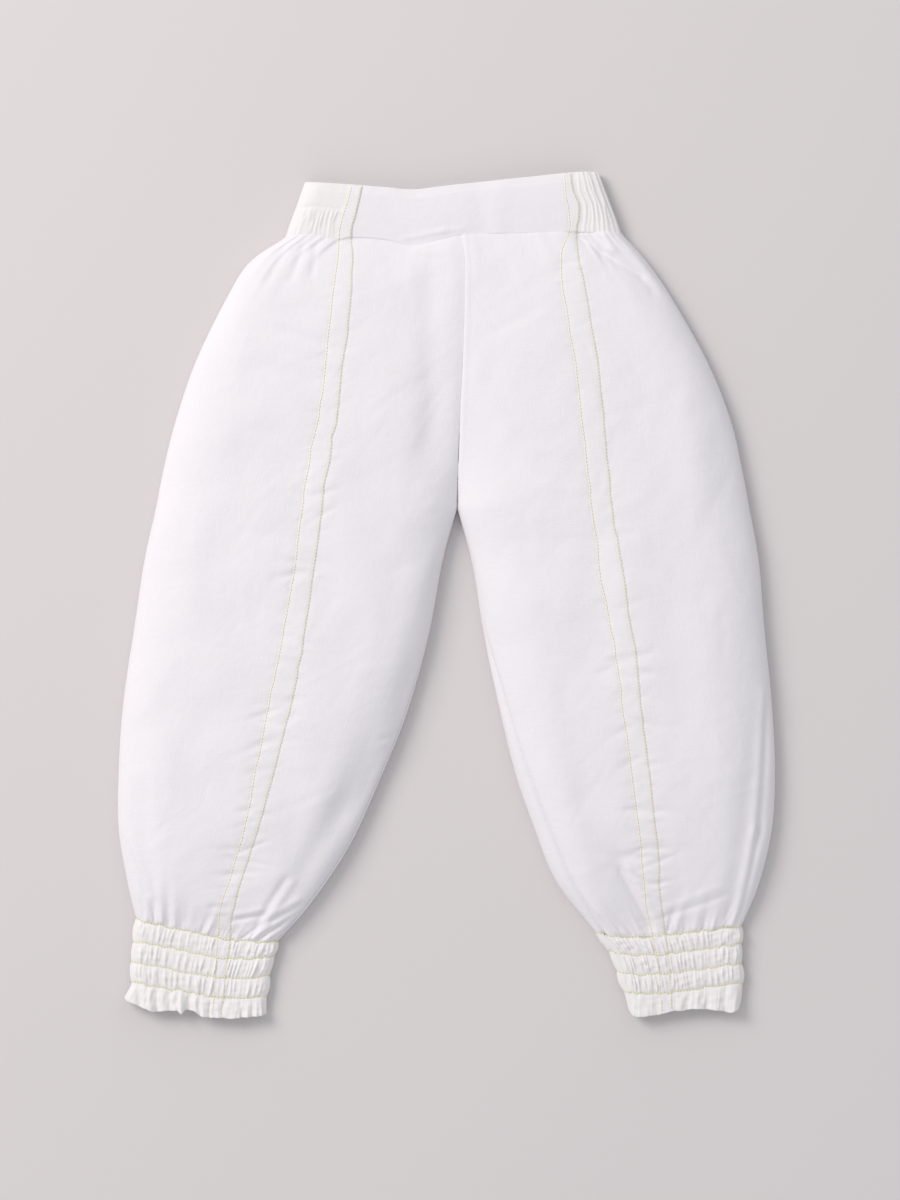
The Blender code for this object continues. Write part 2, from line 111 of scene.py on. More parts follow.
# %% Waistband
# The edges' height above the table, the rounding of the underside there, how much lower a
# domed front is at its edges than in its middle, and the gap between two pieces
EDGE_HEIGHT = 4.5
UNDER_ROUND = 7.0
DOME_SHARE = 0.16
SEAM_GAP = 0.3
# Its top fold and its seam with the legs, from the right end over the centre to the left
BAND = table(
    "top_x top_y seam_x seam_y",
    (-85.0, 246.6, -96.5, 214.0),
    (-72.0, 245.8, -81.0, 216.0),
    (-57.0, 244.8, -65.0, 212.4),
    (-49.0, 244.2, -56.0, 213.8),
    (-35.0, 243.0, -37.0, 212.6),
    (-20.0, 241.8, -19.0, 208.6),
    (-4.0, 243.6, -4.0, 212.2),
    (8.0, 245.0, 9.3, 215.4),
    (50.0, 249.4, 50.0, 216.5),
    (75.0, 252.0, 78.0, 217.0),
    (91.0, 252.6, 105.0, 216.0))
# The centre's row there, the height of the front by shares of the way down the band, and
# how wide its outer edge is rounded and how far it has rolled
CENTRE = 7
BAND_HEIGHT = table("down crown", (0.0, 10.0), (0.15, 11.4), (0.5, 11.8), (0.8, 11.6), (1.0, 11.5))
BAND_SHOULDER = 12
BAND_ROLL = 0.6
print("waistband, mm along its top:", BAND["top_x"][-1] - BAND["top_x"][0])

# %% Legs, one row for each section from the waist seam to the cuff
# crown is the height of the front, and valley the share of it that is left at the inner
# edge. rise is 1 where the underside's inner edge has lifted off the table, dome 1 where
# the front is domed. Over shoulder and hollow it rounds off at its outer and inner edge.
FORM = table(
    "crown valley rise dome shoulder hollow",
    (11.5, 1.00, 0.0, 0.0, 12, 30),
    (15.5, 0.97, 0.0, 0.2, 22, 30),
    (19.0, 0.92, 0.0, 0.5, 30, 32),
    (21.5, 0.85, 0.0, 0.8, 34, 36),
    (22.5, 0.72, 0.0, 1.0, 36, 38),
    (23.0, 0.48, 0.3, 1.0, 37, 38),
    (23.5, 0.00, 1.0, 1.0, 38, 36),
    (24.0, 0.00, 1.0, 1.0, 38, 36),
    (24.5, 0.00, 1.0, 1.0, 38, 36),
    (24.5, 0.00, 1.0, 1.0, 38, 36),
    (24.0, 0.00, 1.0, 1.0, 36, 34),
    (22.0, 0.00, 1.0, 1.0, 32, 30),
    (17.5, 0.00, 1.0, 0.7, 24, 22),
    (9.5, 0.00, 1.0, 0.0, 9, 9))
# The row of the crotch: above it, both legs meet at the centre seam
CROTCH = 6
# roll_out and roll_in tell how far the side seam and the inseam have rolled onto the front
OUTLINE_COLUMNS = "outer_x outer_y inner_x inner_y roll_out roll_in"
OUTLINE = {
    "right": table(
        OUTLINE_COLUMNS,
        (-96.5, 214.0, 9.3, 215.4, 0.6, 0.0),
        (-118, 199, 11.0, 200, 0.7, 0.0),
        (-132, 177, 11.1, 178, 0.8, 0.0),
        (-150, 140, 9.9, 140, 0.8, 0.0),
        (-162, 105, 8.1, 105, 0.8, 0.0),
        (-169.5, 75, 7.0, 77, 0.8, 0.0),
        (-174, 52, 6.4, 52, 0.8, 0.0),
        (-181, 20, -2.4, 20, 0.8, 0.8),
        (-187, -20, -10.7, -24, 0.8, 0.8),
        (-193.5, -64, -23.5, -70, 0.9, 0.8),
        (-196.3, -105, -40.5, -112, 1.2, 0.9),
        (-196.3, -140, -58, -150, 2.2, 1.2),
        (-191, -172, -81.5, -185, 3.0, 1.5),
        (-185.7, -194.4, -101, -207, 1.5, 1.0)),
    "left": table(
        OUTLINE_COLUMNS,
        (105, 216, 9.3, 215.4, 0.6, 0.0),
        (119.5, 200, 11.0, 200, 0.7, 0.0),
        (135, 177.5, 11.1, 178, 0.8, 0.0),
        (156, 140, 9.9, 140, 0.8, 0.0),
        (170, 105, 8.1, 105, 0.8, 0.0),
        (177, 75, 7.0, 77, 0.8, 0.0),
        (181.3, 52, 6.4, 52, 0.8, 0.0),
        (187, 20, 15.1, 20, 0.8, 0.5),
        (190.3, -20, 21.8, -20, 0.8, 0.8),
        (194.7, -64, 30.8, -64, 0.9, 3.5),
        (196.7, -105, 40.7, -105, 1.0, 7.0),
        (194.8, -140, 52.7, -140, 1.2, 8.5),
        (187.3, -172, 66, -172, 1.5, 9.5),
        (176.5, -198.5, 89, -201.5, 1.0, 5.0)),
}
print("sections of a leg:", len(FORM["crown"]))

# %% Cuffs, one row for each line of shirring and one for the hem
# Below each of the four rows lies a band of cloth, and the last band is the free frill.
# sag is how far a row hangs below the straight line between its ends.
SHIRRED_ROWS = 4
FRILL_BAND = SHIRRED_ROWS - 1
CUFF_COLUMNS = "outer_x outer_y inner_x inner_y sag crown roll_in"
CUFF = {
    "right": table(
        CUFF_COLUMNS,
        (-185.7, -194.4, -101, -207, 3.0, 9.5, 1.0),
        (-187.5, -207, -103, -215.4, 4.5, 9.3, 1.0),
        (-188.5, -219.6, -106, -227.4, 4.0, 9.1, 1.0),
        (-188.5, -231.6, -107.5, -239.4, 3.5, 8.9, 1.0),
        (-193.0, -241.2, -107.8, -250.6, 0.0, 9.2, 1.0)),
    "left": table(
        CUFF_COLUMNS,
        (176.5, -198.5, 89, -201.5, 4.0, 9.5, 5.0),
        (176.5, -209, 97, -213, 3.2, 9.3, 5.0),
        (176.5, -220.5, 102, -225, 3.0, 9.1, 4.5),
        (177.3, -232, 106, -237, 2.5, 8.9, 3.5),
        (176.5, -243.0, 109.0, -248, 0.0, 9.0, 1.5)),
}
CUFF_SHOULDER = 9
CUFF_ROLL = 1.0
# The lower edge of the frill, from the side seam to the inseam
HEM = {
    "right": table(
        "x y",
        (-193.0, -241.6), (-181.5, -246.4), (-175.3, -249.0), (-168.3, -248.1),
        (-160.7, -248.4), (-158.3, -250.5), (-156.3, -248.1), (-150.4, -248.8),
        (-146.3, -252.2), (-141.5, -252.7), (-134.7, -252.4), (-129.9, -253.0),
        (-124.3, -252.8), (-113.2, -251.9), (-107.8, -250.6)),
    "left": table(
        "x y",
        (176.5, -243.0), (174.6, -247.4), (170.0, -249.0), (164.2, -248.1),
        (157.7, -247.1), (147.3, -247.1), (141.4, -248.4), (134.9, -248.6),
        (127.7, -250.3), (118.6, -252.0), (114.1, -252.4), (110.8, -251.0), (109.0, -248.0)),
}
print("places along the hems:", {side: len(HEM[side]["x"]) for side in SIDES})

# %% Strips: middle and width, from the waistband's top fold down to the hem
STRIP = {
    "right": table(
        "y x width",
        (246, -53.5, 7.2),
        (230, -57.7, 8.2),
        (217, -60.8, 8.0),
        (203, -60.4, 10.2),
        (178, -62.6, 12.0),
        (139, -66.8, 11.4),
        (107, -70.5, 11.6),
        (69, -77.6, 12.6),
        (15, -84.6, 12.6),
        (-28, -91.6, 13.4),
        (-65, -98.8, 13.8),
        (-100, -106.8, 12.4),
        (-128, -113.2, 10.4),
        (-150, -119.4, 8.6),
        (-185, -130.6, 8.4),
        (-204, -133.4, 8.0),
        (-253, -138.2, 6.6)),
    "left": table(
        "y x width",
        (252, 72.0, 5.0),
        (240, 73.2, 5.6),
        (232, 75.6, 7.4),
        (224, 76.0, 6.8),
        (218, 75.4, 5.4),
        (204, 73.6, 10.6),
        (190, 74.6, 13.6),
        (172, 77.6, 14.4),
        (139, 82.8, 14.2),
        (100, 87.4, 14.2),
        (52, 92.4, 13.2),
        (6, 99.2, 13.8),
        (-40, 107.0, 12.8),
        (-83, 112.0, 12.0),
        (-135, 118.6, 11.2),
        (-183, 123.4, 10.6),
        (-213, 129.2, 7.4),
        (-251, 132.2, 7.6)),
}
print("widest places of the strips, mm:", {side: STRIP[side]["width"].max() for side in SIDES})

# %% [markdown]
# ## The form as a flattened tube
# Laid flat, a trouser leg is a tube pressed level: its back lies on the table and its front
# rises over a rounded edge. One could model that with a cage and subdivision, but then
# nothing would tie the cloth to the sizes. So each section is a pair of lines worked out
# from the tables, and the cloth is read off those lines by the length along them, the way
# a tape measure would follow it. All rows are worked out at once as arrays.

# %% Interpolation on all rows at once
# The shares of the way across at which a section is worked out, denser at both edges
LINE_POINTS = 241
SHARE = 0.5 * (1 - np.cos(np.linspace(0, math.pi, LINE_POINTS)))[None]
FAR = 1.0e4


def row_interp(at, known, values):
    """Linear interpolation on every row at once.

    Row k is read k * FAR further along the number line, so that one call serves them all.
    """
    shift = np.arange(len(known))[:, None] * FAR
    inside = np.clip(at, known[:, :1], known[:, -1:])
    got = np.interp((inside + shift).ravel(), (known + shift).ravel(), values.ravel())
    return got.reshape(at.shape)


print("points on a section's line:", LINE_POINTS)


# %% Lines that are read by the length along them
class Lines:
    """One line of points a row, with outward normals.

    The length at a point is the sum of the steps before it. A normal is the line's slope
    turned by a quarter turn in the section's own upright plane.
    """

    def __init__(self, points, across, height, direction, outward):
        steps = np.hypot(np.diff(across, axis=1), np.diff(height, axis=1))
        self.lengths = np.concatenate((np.zeros((len(steps), 1)), np.cumsum(steps, axis=1)), axis=1)
        self.total = self.lengths[:, -1:]
        slope = np.stack((np.gradient(across, axis=1), np.gradient(height, axis=1)), axis=-1)
        slope *= outward / np.linalg.norm(slope, axis=-1, keepdims=True)
        normals = np.concatenate((-slope[..., 1:] * direction[:, None, :], slope[..., :1]), axis=-1)
        self.values = np.concatenate((points, normals), axis=-1)

    def read(self, lengths):
        """Points and unit normals at these lengths, a row for each line."""
        got = np.stack(
            [row_interp(lengths, self.lengths, self.values[..., k]) for k in range(6)], axis=-1)
        normals = got[..., 3:] / np.linalg.norm(got[..., 3:], axis=-1, keepdims=True)
        return got[..., :3], normals


# %% [markdown]
# The largest folds lie where the cloth was patted flat. They are soft, so each is a bell
# across its line and fades past its ends. They are part of the form, and everything that
# lies on the cloth, such as the strips, follows them.

# %% The largest folds
FOLD_COLUMNS = "from_x from_y to_x to_y half_width height"
LARGE_FOLDS = table(
    FOLD_COLUMNS,
    (-28, -63, -61, -129, 9, -2.0),
    (-61, -129, -92, -176, 8, -2.2),
    (-112, 160, -76, 124, 16, -1.5),
    (-185, -120, -176, -182, 7, -1.8),
    (-150, 172, -160, 96, 12, 1.0),
    (-8, 186, -6, 96, 10, -1.2),
    (84, 212, 122, 186, 7, -2.2),
    (92, 218, 132, 196, 7, 1.4),
    (148, 156, 150, 68, 12, 1.5),
    (186, -86, 172, -186, 7, -2.2),
    (90, 24, 86, -36, 12, -1.0),
    (62, -110, 92, -182, 9, 1.2),
    (104, -160, 118, -194, 7, -1.6))
# How fast a crease fades past its ends, next to how fast it does across its line
END_FADE = 0.6


def crease_height(x, y, creases):
    """Each crease is a bell across its line, and a wider one past its ends, summed up."""
    total = np.zeros_like(x)
    for from_x, from_y, to_x, to_y, half_width, height in zip(*creases.values()):
        run = math.hypot(to_x - from_x, to_y - from_y)
        dir_x, dir_y = (to_x - from_x) / run, (to_y - from_y) / run
        along = (x - from_x) * dir_x + (y - from_y) * dir_y
        across = (y - from_y) * dir_x - (x - from_x) * dir_y
        beyond = np.maximum(np.maximum(-along, along - run), 0.0)
        total += height * np.exp(-(across ** 2 + (END_FADE * beyond) ** 2) / half_width ** 2)
    return total


print("large folds:", len(LARGE_FOLDS["height"]))


# %% The tube itself
def shoulder(distance, width, sharpness):
    """From 0 at an edge to 1 at this width from it: a quarter round at sharpness 0.5."""
    left = 1 - np.clip(distance / width, 0.0, 1.0)
    return (1 - left ** 2) ** sharpness


class Tube:
    """Sections of the flattened garment, one a row, from the outer to the inner edge.

    The top line stands at the edge's height plus the rest of the crown times the lift. The
    lift is a quarter round over the outer shoulder, times a hollow at the inner edge that
    the valley fills up, times a dome that is lower towards both edges. The under line is
    level on the table and rounds up over UNDER_ROUND at its ends.
    """

    def __init__(self, outer, inner, bend, crown, wide, hollow=None, valley=0.0, rise=1.0,
                 dome=0.0, folded=False):
        run = np.linalg.norm(inner - outer, axis=1, keepdims=True)
        hollow = wide if hollow is None else hollow
        self.outer = outer
        self.width = run
        self.direction = (inner - outer) / run
        self.across = run * SHARE
        x = outer[:, :1] + self.across * self.direction[:, :1]
        y = outer[:, 1:] + self.across * self.direction[:, 1:] + bend
        inner_lift = shoulder(run - self.across, hollow, 0.5 + 0.5 * valley)
        lift = shoulder(self.across, wide, 0.5) * (valley + (1 - valley) * inner_lift)
        lift = lift * (1 - DOME_SHARE * dome * (2 * SHARE - 1) ** 2)
        top = EDGE_HEIGHT + (crown - EDGE_HEIGHT) * lift
        if folded:
            top = top + crease_height(x, y, LARGE_FOLDS) * lift ** 2
        under = 1 - shoulder(self.across, UNDER_ROUND, 0.5)
        under = EDGE_HEIGHT * (under + rise * (1 - shoulder(run - self.across, UNDER_ROUND, 0.5)))
        self.top = Lines(np.stack((x, y, top), axis=-1), self.across, top, self.direction, 1.0)
        self.under = Lines(
            np.stack((x, y, under), axis=-1), self.across, under, self.direction, -1.0)
        self.roll_out = np.zeros_like(run)
        self.roll_in = np.zeros_like(run)
        self.joined_in = False

    def top_length(self, across):
        """The length along the top line at this distance across."""
        return row_interp(across, self.across, self.top.lengths)

    def strip_middle(self, strip):
        """The strip's middle and half width on each row, as lengths along the top line."""
        order = np.argsort(strip["y"])
        ys = strip["y"][order]
        middle = self.width / 2
        for _ in range(4):
            y = self.outer[:, 1:] + middle * self.direction[:, 1:]
            at = np.interp(y, ys, np.arange(len(ys)))
            middle = (curve_at(strip["x"][order], at) - self.outer[:, :1]) / self.direction[:, :1]
        half = curve_at(strip["width"][order], at) / 2
        return self.top_length(middle), half

    def read_round(self, lengths):
        """Points and normals on the way round under the garment.

        Lengths below 0 lie on the top line before the outer edge, and lengths past the
        under line lie on the top line again, beyond the inner edge.
        """
        under = self.under.read(lengths)
        before = self.top.read(-lengths)
        after = self.top.read(self.top.total + self.under.total - lengths)
        is_before = (lengths < 0)[..., None]
        is_after = (lengths > self.under.total)[..., None]
        return tuple(
            np.where(is_before, before[i], np.where(is_after, after[i], under[i])) for i in (0, 1))


# %% Lines across the garment
def off_chord(line_x, line_y):
    """How far a line lies above the chord between the two ends of each row."""
    share = (line_x - line_x[0]) / (line_x[-1] - line_x[0])
    above = line_y - (line_y[0] + share * (line_y[-1] - line_y[0]))
    return np.interp(SHARE, share, above)


def smooth_line(xs, ys, count=120):
    """A finer line on the smooth curve through these points."""
    at = np.linspace(0, len(xs) - 1, count)
    return curve_at(xs, at), curve_at(ys, at)


def sagging(depth):
    """A row that hangs lowest, by its depth, at two thirds of the way in: -6.75 d s^2 (1 - s)."""
    return -6.75 * depth * SHARE ** 2 * (1 - SHARE)


print("sag of a row 3 mm deep:", round(sagging(3.0).min(), 2))

# %% Rows of the waistband
BAND_ROW_COUNT = 40


def band_line(edge, side):
    """The waistband's top or seam line on one side, from its end to the centre."""
    x, y = BAND[edge + "_x"], BAND[edge + "_y"]
    if side == "right":
        return x[:CENTRE + 1], y[:CENTRE + 1]
    return x[CENTRE:][::-1], y[CENTRE:][::-1]


def band_tube(side, down):
    """The waistband's rows on one side, at these shares of the way down."""
    top_x, top_y = smooth_line(*band_line("top", side))
    seam_x, seam_y = smooth_line(*band_line("seam", side))
    x = top_x * (1 - down) + seam_x * down
    y = top_y * (1 - down) + seam_y * down
    outer = np.stack((x[:, 0], y[:, 0]), axis=1)
    inner = np.stack((x[:, -1], y[:, -1]), axis=1)
    bend = np.array([off_chord(xs, ys)[0] for xs, ys in zip(x, y)])
    crown = np.interp(down, BAND_HEIGHT["down"], BAND_HEIGHT["crown"])
    tube = Tube(outer, inner, bend, crown, BAND_SHOULDER, valley=1.0, rise=0.0)
    tube.roll_out = np.full_like(down, BAND_ROLL)
    tube.joined_in = True
    return tube


print("rows of the waistband:", BAND_ROW_COUNT)

# %% Rows of a leg
LEG_ROW_COUNT = 330
ROW_CROWDING = 0.35
# How far the first row reaches up under the waistband
WAIST_TUCK = 0.5
# The share of the waist seam's own curve that the rows keep, by sections below it, and the
# share of the sag of the cuff's first row, by sections from it
SEAM_CURVE = table("section share", (0, 1.0), (1, 0.75), (2, 0.25), (7 / 3, 0.0))
CUFF_SAG = table("section share", (-1.5, 0.0), (-1.0, 0.25), (0.0, 1.0))


def leg_tube(side, rows):
    """A leg's rows, closer together near the waist and the cuff, where the gathers are.

    The crowding takes c sin(2 pi s) / (2 pi) off an even share s of the way down.
    """
    outline = OUTLINE[side]
    last = len(FORM["crown"]) - 1
    middle = np.stack([(outline["outer_" + a] + outline["inner_" + a]) / 2 for a in "xy"], axis=1)
    run = np.concatenate(([0.0], np.cumsum(np.linalg.norm(np.diff(middle, axis=0), axis=1))))
    share = np.linspace(0, 1, rows)
    share -= ROW_CROWDING * np.sin(2 * math.pi * share) / (2 * math.pi)
    at = np.interp(share, run / run[-1], np.arange(last + 1))
    edge = {name: curve_at(outline[name], at) for name in OUTLINE_COLUMNS.split()}
    for name in ("inner_x", "inner_y"):
        hip = curve_at(outline[name][:CROTCH + 1], np.minimum(at, CROTCH))
        inseam = curve_at(outline[name][CROTCH:], np.maximum(at - CROTCH, 0))
        edge[name] = np.where(at <= CROTCH, hip, inseam)
    tuck = np.zeros(rows)
    tuck[0] = WAIST_TUCK
    outer = np.stack((edge["outer_x"], edge["outer_y"] + tuck), axis=1)
    inner = np.stack((edge["inner_x"], edge["inner_y"] + tuck), axis=1)
    near_waist = np.interp(at, *SEAM_CURVE.values())[:, None] ** 2
    near_cuff = np.interp(at - last, *CUFF_SAG.values())[:, None]
    bend = near_waist * off_chord(*smooth_line(*band_line("seam", side)))
    bend = bend + sagging(CUFF[side]["sag"][0]) * near_cuff
    form = {name: curve_at(values, at)[:, None] for name, values in FORM.items()}
    tube = Tube(
        outer, inner, bend, form["crown"], form["shoulder"], form["hollow"],
        valley=np.clip(form["valley"], 0, 1), rise=np.clip(form["rise"], 0, 1),
        dome=form["dome"], folded=True)
    tube.roll_out = edge["roll_out"][:, None]
    tube.roll_in = np.maximum(0.0, edge["roll_in"])[:, None]
    return tube


print("rows of a leg:", LEG_ROW_COUNT)

# %% Rows of a cuff
CUFF_BAND_ROWS = 17
# The hem's own small wander: a random walk in so many steps, each of this size
HEM_STEPS = 60
HEM_WANDER = 0.12


def cuff_tube(side, band_rows):
    """A cuff's rows: so many in each shirred band and in the frill below them."""
    cuff = CUFF[side]
    at = np.linspace(0, SHIRRED_ROWS, SHIRRED_ROWS * band_rows + 1)
    rows = {name: curve_at(values, at) for name, values in cuff.items()}
    frill = np.clip(at - FRILL_BAND, 0, 1)[:, None]
    rng = np.random.default_rng(3)
    walk = np.cumsum(rng.normal(0, 1, HEM_STEPS))
    walk = walk - np.linspace(walk[0], walk[-1], HEM_STEPS)
    wander = HEM_WANDER * np.interp(SHARE, np.linspace(0, 1, HEM_STEPS), walk)
    hem = off_chord(HEM[side]["x"], HEM[side]["y"]) + wander
    bend = sagging(rows["sag"][:, None]) * (1 - frill ** 4) + hem * frill ** 1.5
    tube = Tube(
        np.stack((rows["outer_x"], rows["outer_y"]), axis=1),
        np.stack((rows["inner_x"], rows["inner_y"]), axis=1),
        bend, rows["crown"][:, None], CUFF_SHOULDER)
    tube.roll_out = np.full((len(at), 1), CUFF_ROLL)
    tube.roll_in = rows["roll_in"][:, None]
    return tube


print("rows of a cuff:", SHIRRED_ROWS * CUFF_BAND_ROWS + 1)

# %% Columns across a strip
# Steps in from each edge: the stitches lie on the third of them. Between the steps of both
# edges lie seven even columns.
STRIP_STEPS = np.array([0.0, 0.35, 0.7, 1.1, 1.7])
STITCH_COLUMN = 2
STRIP_INNER = np.linspace(0, 1, 9)[1:-1]
# How far the edges stray, the spaces between the bends, where these start down the leg,
# and the half width from which a strip strays in full
EDGE_WOBBLE = 0.35
BEND_SPACES, BEND_COUNT, BEND_START = (4.0, 15.0), 80, -300.0
FULL_WOBBLE_HALF = 5


def strip_columns(tube, strip):
    """Lengths across the strip: close together at its edges, where the stitches lie."""
    middle, half = tube.strip_middle(strip)
    seed = int(strip["width"][0] * 10)
    wobbles = [
        random_line(tube.outer[:, 1:], s, BEND_COUNT, BEND_SPACES, BEND_START, EDGE_WOBBLE)
        for s in (seed, seed + 1)]
    steady = np.minimum(1.0, half / FULL_WOBBLE_HALF)
    left = -half + wobbles[0] * steady
    right = half + wobbles[1] * steady
    inner = left + STRIP_STEPS[-1] + STRIP_INNER * (right - left - 2 * STRIP_STEPS[-1])
    return middle + np.concatenate((left + STRIP_STEPS, inner, right - STRIP_STEPS[::-1]), axis=1)


print("columns of a strip:", 2 * len(STRIP_STEPS) + len(STRIP_INNER))

# %% Columns across a front: outer seam to strip, across the strip, strip to inner seam
SIDE_GAP = 0.12
# An inner edge that has rolled less than this is the centre seam, which has no gap
LEAST_ROLL = 0.3
END_CROWDING = 0.45


def dense_at_ends(share):
    """Shares closer together near 0 and 1: (1 - c) s plus c (1 - cos(pi s)) / 2."""
    return (1 - END_CROWDING) * share + END_CROWDING / 2 * (1 - np.cos(math.pi * share))


def front_columns(tube, strip, outside, inside):
    """Lengths of all columns of a front, and the numbers of the strip's first and last."""
    across = strip_columns(tube, strip)
    first = tube.top_length(tube.roll_out) + SIDE_GAP
    last = tube.top_length(tube.width - tube.roll_in)
    last = last - np.where(tube.roll_in > LEAST_ROLL, SIDE_GAP, 0.0)
    out = dense_at_ends(np.linspace(0, 1, outside + 1)[None, :-1])
    back_in = dense_at_ends(np.linspace(1, 0, inside + 1)[None, 1:])
    left = first + (across[:, :1] - first) * out
    right = last + (across[:, -1:] - last) * back_in
    return np.concatenate((left, across, right), axis=1), (outside, outside + across.shape[1] - 1)


# %% Columns across a back, and the tubes of both sides
# The length from the outer edge, in rounded ends, after which the underside is level
EDGE_SHARE = 1.4


def back_columns(tube, edge_count, flat_count):
    """Lengths of a back's columns, for read_round: up to each edge and across the flat."""
    first = -tube.top_length(tube.roll_out)
    last = tube.under.total
    if not tube.joined_in:
        last = last + tube.top.total - tube.top_length(tube.width - tube.roll_in)
    edge = UNDER_ROUND * EDGE_SHARE
    near = first + (edge - first) * np.linspace(0, 1, edge_count + 1)[None]
    flat = edge + (tube.under.total - 2 * edge) * np.linspace(0, 1, flat_count + 1)[None, 1:-1]
    far = last + (tube.under.total - edge - last) * np.linspace(1, 0, edge_count + 1)[None]
    return np.concatenate((near, flat, far), axis=1)


BAND_DOWN = np.linspace(0, 1, BAND_ROW_COUNT)[:, None]
tubes = {}
for side in SIDES:
    tubes[side] = (
        band_tube(side, BAND_DOWN), leg_tube(side, LEG_ROW_COUNT), cuff_tube(side, CUFF_BAND_ROWS))
    print(side, "leg, mm at its widest:", round(tubes[side][1].width.max(), 1))

# %% [markdown]
# ## Cloth as a thin closed wall
# Real cotton is about half a millimetre thick, and its cut or folded edges are round. A
# Solidify modifier would give the thickness, but a square rim. Here the wall is made
# directly: the outer points, the inner points, and a few loops of points between them that
# bulge away from the piece.

# %% Put arrays in a mesh
def signed_volume(points, faces):
    """Six times the volume inside the faces: positive where they point outwards."""
    a, b, c, d = (points[faces[:, k]] for k in range(4))
    return np.sum(a * np.cross(b, c)) + np.sum(a * np.cross(c, d))


def put_in_mesh(name, points, faces, uv, material):
    """A smooth object from points in millimetres, with a UV map of one pair for each point."""
    mesh = bpy.data.meshes.new(name)
    mesh.from_pydata((points * MM).tolist(), [], faces)
    layer = mesh.uv_layers.new(name="cloth")
    corner = np.empty(len(mesh.loops), np.int32)
    mesh.loops.foreach_get("vertex_index", corner)
    layer.data.foreach_set("uv", uv[corner].astype(np.float32).ravel())
    mesh.shade_smooth()
    mesh.materials.append(material)
    piece = bpy.data.objects.new(name, mesh)
    bpy.context.scene.collection.objects.link(piece)
    return piece


def run_lengths(points):
    """The length along a line of points up to each of them, from 0."""
    return np.concatenate(([0.0], np.cumsum(np.linalg.norm(np.diff(points, axis=0), axis=1))))


# %% Build a wall
CLOTH_WALL = 0.45
# The loops that round its rim, as angles from its outer side to its inner side
RIM_ANGLES = np.linspace(0, math.pi, 5)[1:-1]


def cloth_wall(name, outer, inner, uv, material, bulge=0.5):
    """A closed wall between two grids of points.

    A rim loop at angle a lies at the middle of the wall plus cos(a) times half the wall
    plus bulge times sin(a) times half the wall's thickness away from the piece.
    """
    rows, columns = outer.shape[:2]
    index = np.arange(rows * columns).reshape(rows, columns)
    rim = np.concatenate((index[0, :-1], index[:-1, -1], index[-1, :0:-1], index[:0:-1, 0]))
    row, column = np.divmod(rim, columns)
    away = outer[row, column] - outer[np.clip(row, 1, rows - 2), np.clip(column, 1, columns - 2)]
    away /= np.linalg.norm(away, axis=1, keepdims=True)
    half = (outer[row, column] - inner[row, column]) / 2
    size = np.linalg.norm(half, axis=1, keepdims=True)
    middle = (outer[row, column] + inner[row, column]) / 2
    loops = [middle + math.cos(a) * half + bulge * math.sin(a) * size * away for a in RIM_ANGLES]
    points = np.concatenate([outer.reshape(-1, 3), inner.reshape(-1, 3)] + loops)
    corners = (index[:-1, :-1], index[:-1, 1:], index[1:, 1:], index[1:, :-1])
    face = np.stack(corners, axis=-1).reshape(-1, 4)
    below = rows * columns
    rings = [rim] + [2 * below + k * len(rim) + np.arange(len(rim)) for k in range(len(loops))]
    rings.append(rim + below)
    sides = [
        np.stack((np.roll(a, -1), a, b, np.roll(b, -1)), axis=-1)
        for a, b in zip(rings[:-1], rings[1:])]
    faces = np.concatenate([face, face[:, ::-1] + below] + sides)
    if signed_volume(points, faces) < 0:
        faces = faces[:, ::-1]
    flat = uv.reshape(-1, 2) * MM
    flat = np.concatenate([flat, flat] + [flat[rim]] * len(loops))
    return put_in_mesh(name, points, faces.tolist(), flat, material)


def uv_grid(points, lengths, middle):
    """Across: the length from the middle column. Down: the distance between the rows."""
    down = run_lengths(points[:, points.shape[1] // 2])[:, None]
    return np.stack((lengths - middle, np.broadcast_to(-down, lengths.shape)), axis=-1)


print("wall, mm:", CLOTH_WALL, "with", len(RIM_ANGLES), "loops round its rim")

# %% [markdown]
# ## Cotton
# The cloth is a light plain weave with slubs, the thicker places in a thread. A weave this
# fine shows only from close by, so it is bump: a product of two sines gives the over and
# under of the threads, and stretched noise gives slubs along both of them. The sheen is
# the soft light on fibre ends that makes cotton look dry and not like paper.


# %% Helpers for nodes
def new_material(name):
    """A material and its node tree, with the shader and nothing else linked to it."""
    material = bpy.data.materials.new(name)
    material.use_nodes = True
    return material, material.node_tree, material.node_tree.nodes["Principled BSDF"]


def node(tree, kind, inputs=None, **settings):
    """Add a node, set its properties, and set or link its inputs by number or name."""
    made = tree.nodes.new("ShaderNode" + kind)
    for name, value in settings.items():
        setattr(made, name, value)
    for key, value in (inputs or {}).items():
        if isinstance(value, bpy.types.NodeSocket):
            tree.links.new(value, made.inputs[key])
        else:
            made.inputs[key].default_value = value
    return made


def scaled(tree, vector, across, down):
    """The UV map stretched: so many repeats for each metre across and down."""
    return node(tree, "Mapping", {"Vector": vector, "Scale": (across, down, 1.0)}).outputs[0]


def noise(tree, vector, detail=2.0):
    """Soft noise from 0 to 1, one lump for each unit of the vector."""
    return node(tree, "TexNoise", {"Vector": vector, "Scale": 1.0, "Detail": detail}).outputs["Fac"]


def maths(tree, operation, a, b=0.0):
    """One arithmetic step."""
    return node(tree, "Math", {0: a, 1: b}, operation=operation).outputs[0]


def two_tones(tree, value, dark, light, start=0.0, end=1.0):
    """A colour that goes from dark to light as the value goes from start to end."""
    ramp = node(tree, "ValToRGB", {0: value})
    for element, position, colour in zip(ramp.color_ramp.elements, (start, end), (dark, light)):
        element.position = position
        element.color = (*colour, 1.0)
    return ramp.outputs[0]


def bump(tree, height, strength, depth, below=None):
    """Bump of this depth in metres, on top of the bump below it."""
    inputs = {"Strength": strength, "Distance": depth, "Height": height}
    if below is not None:
        inputs["Normal"] = below
    return node(tree, "Bump", inputs).outputs[0]


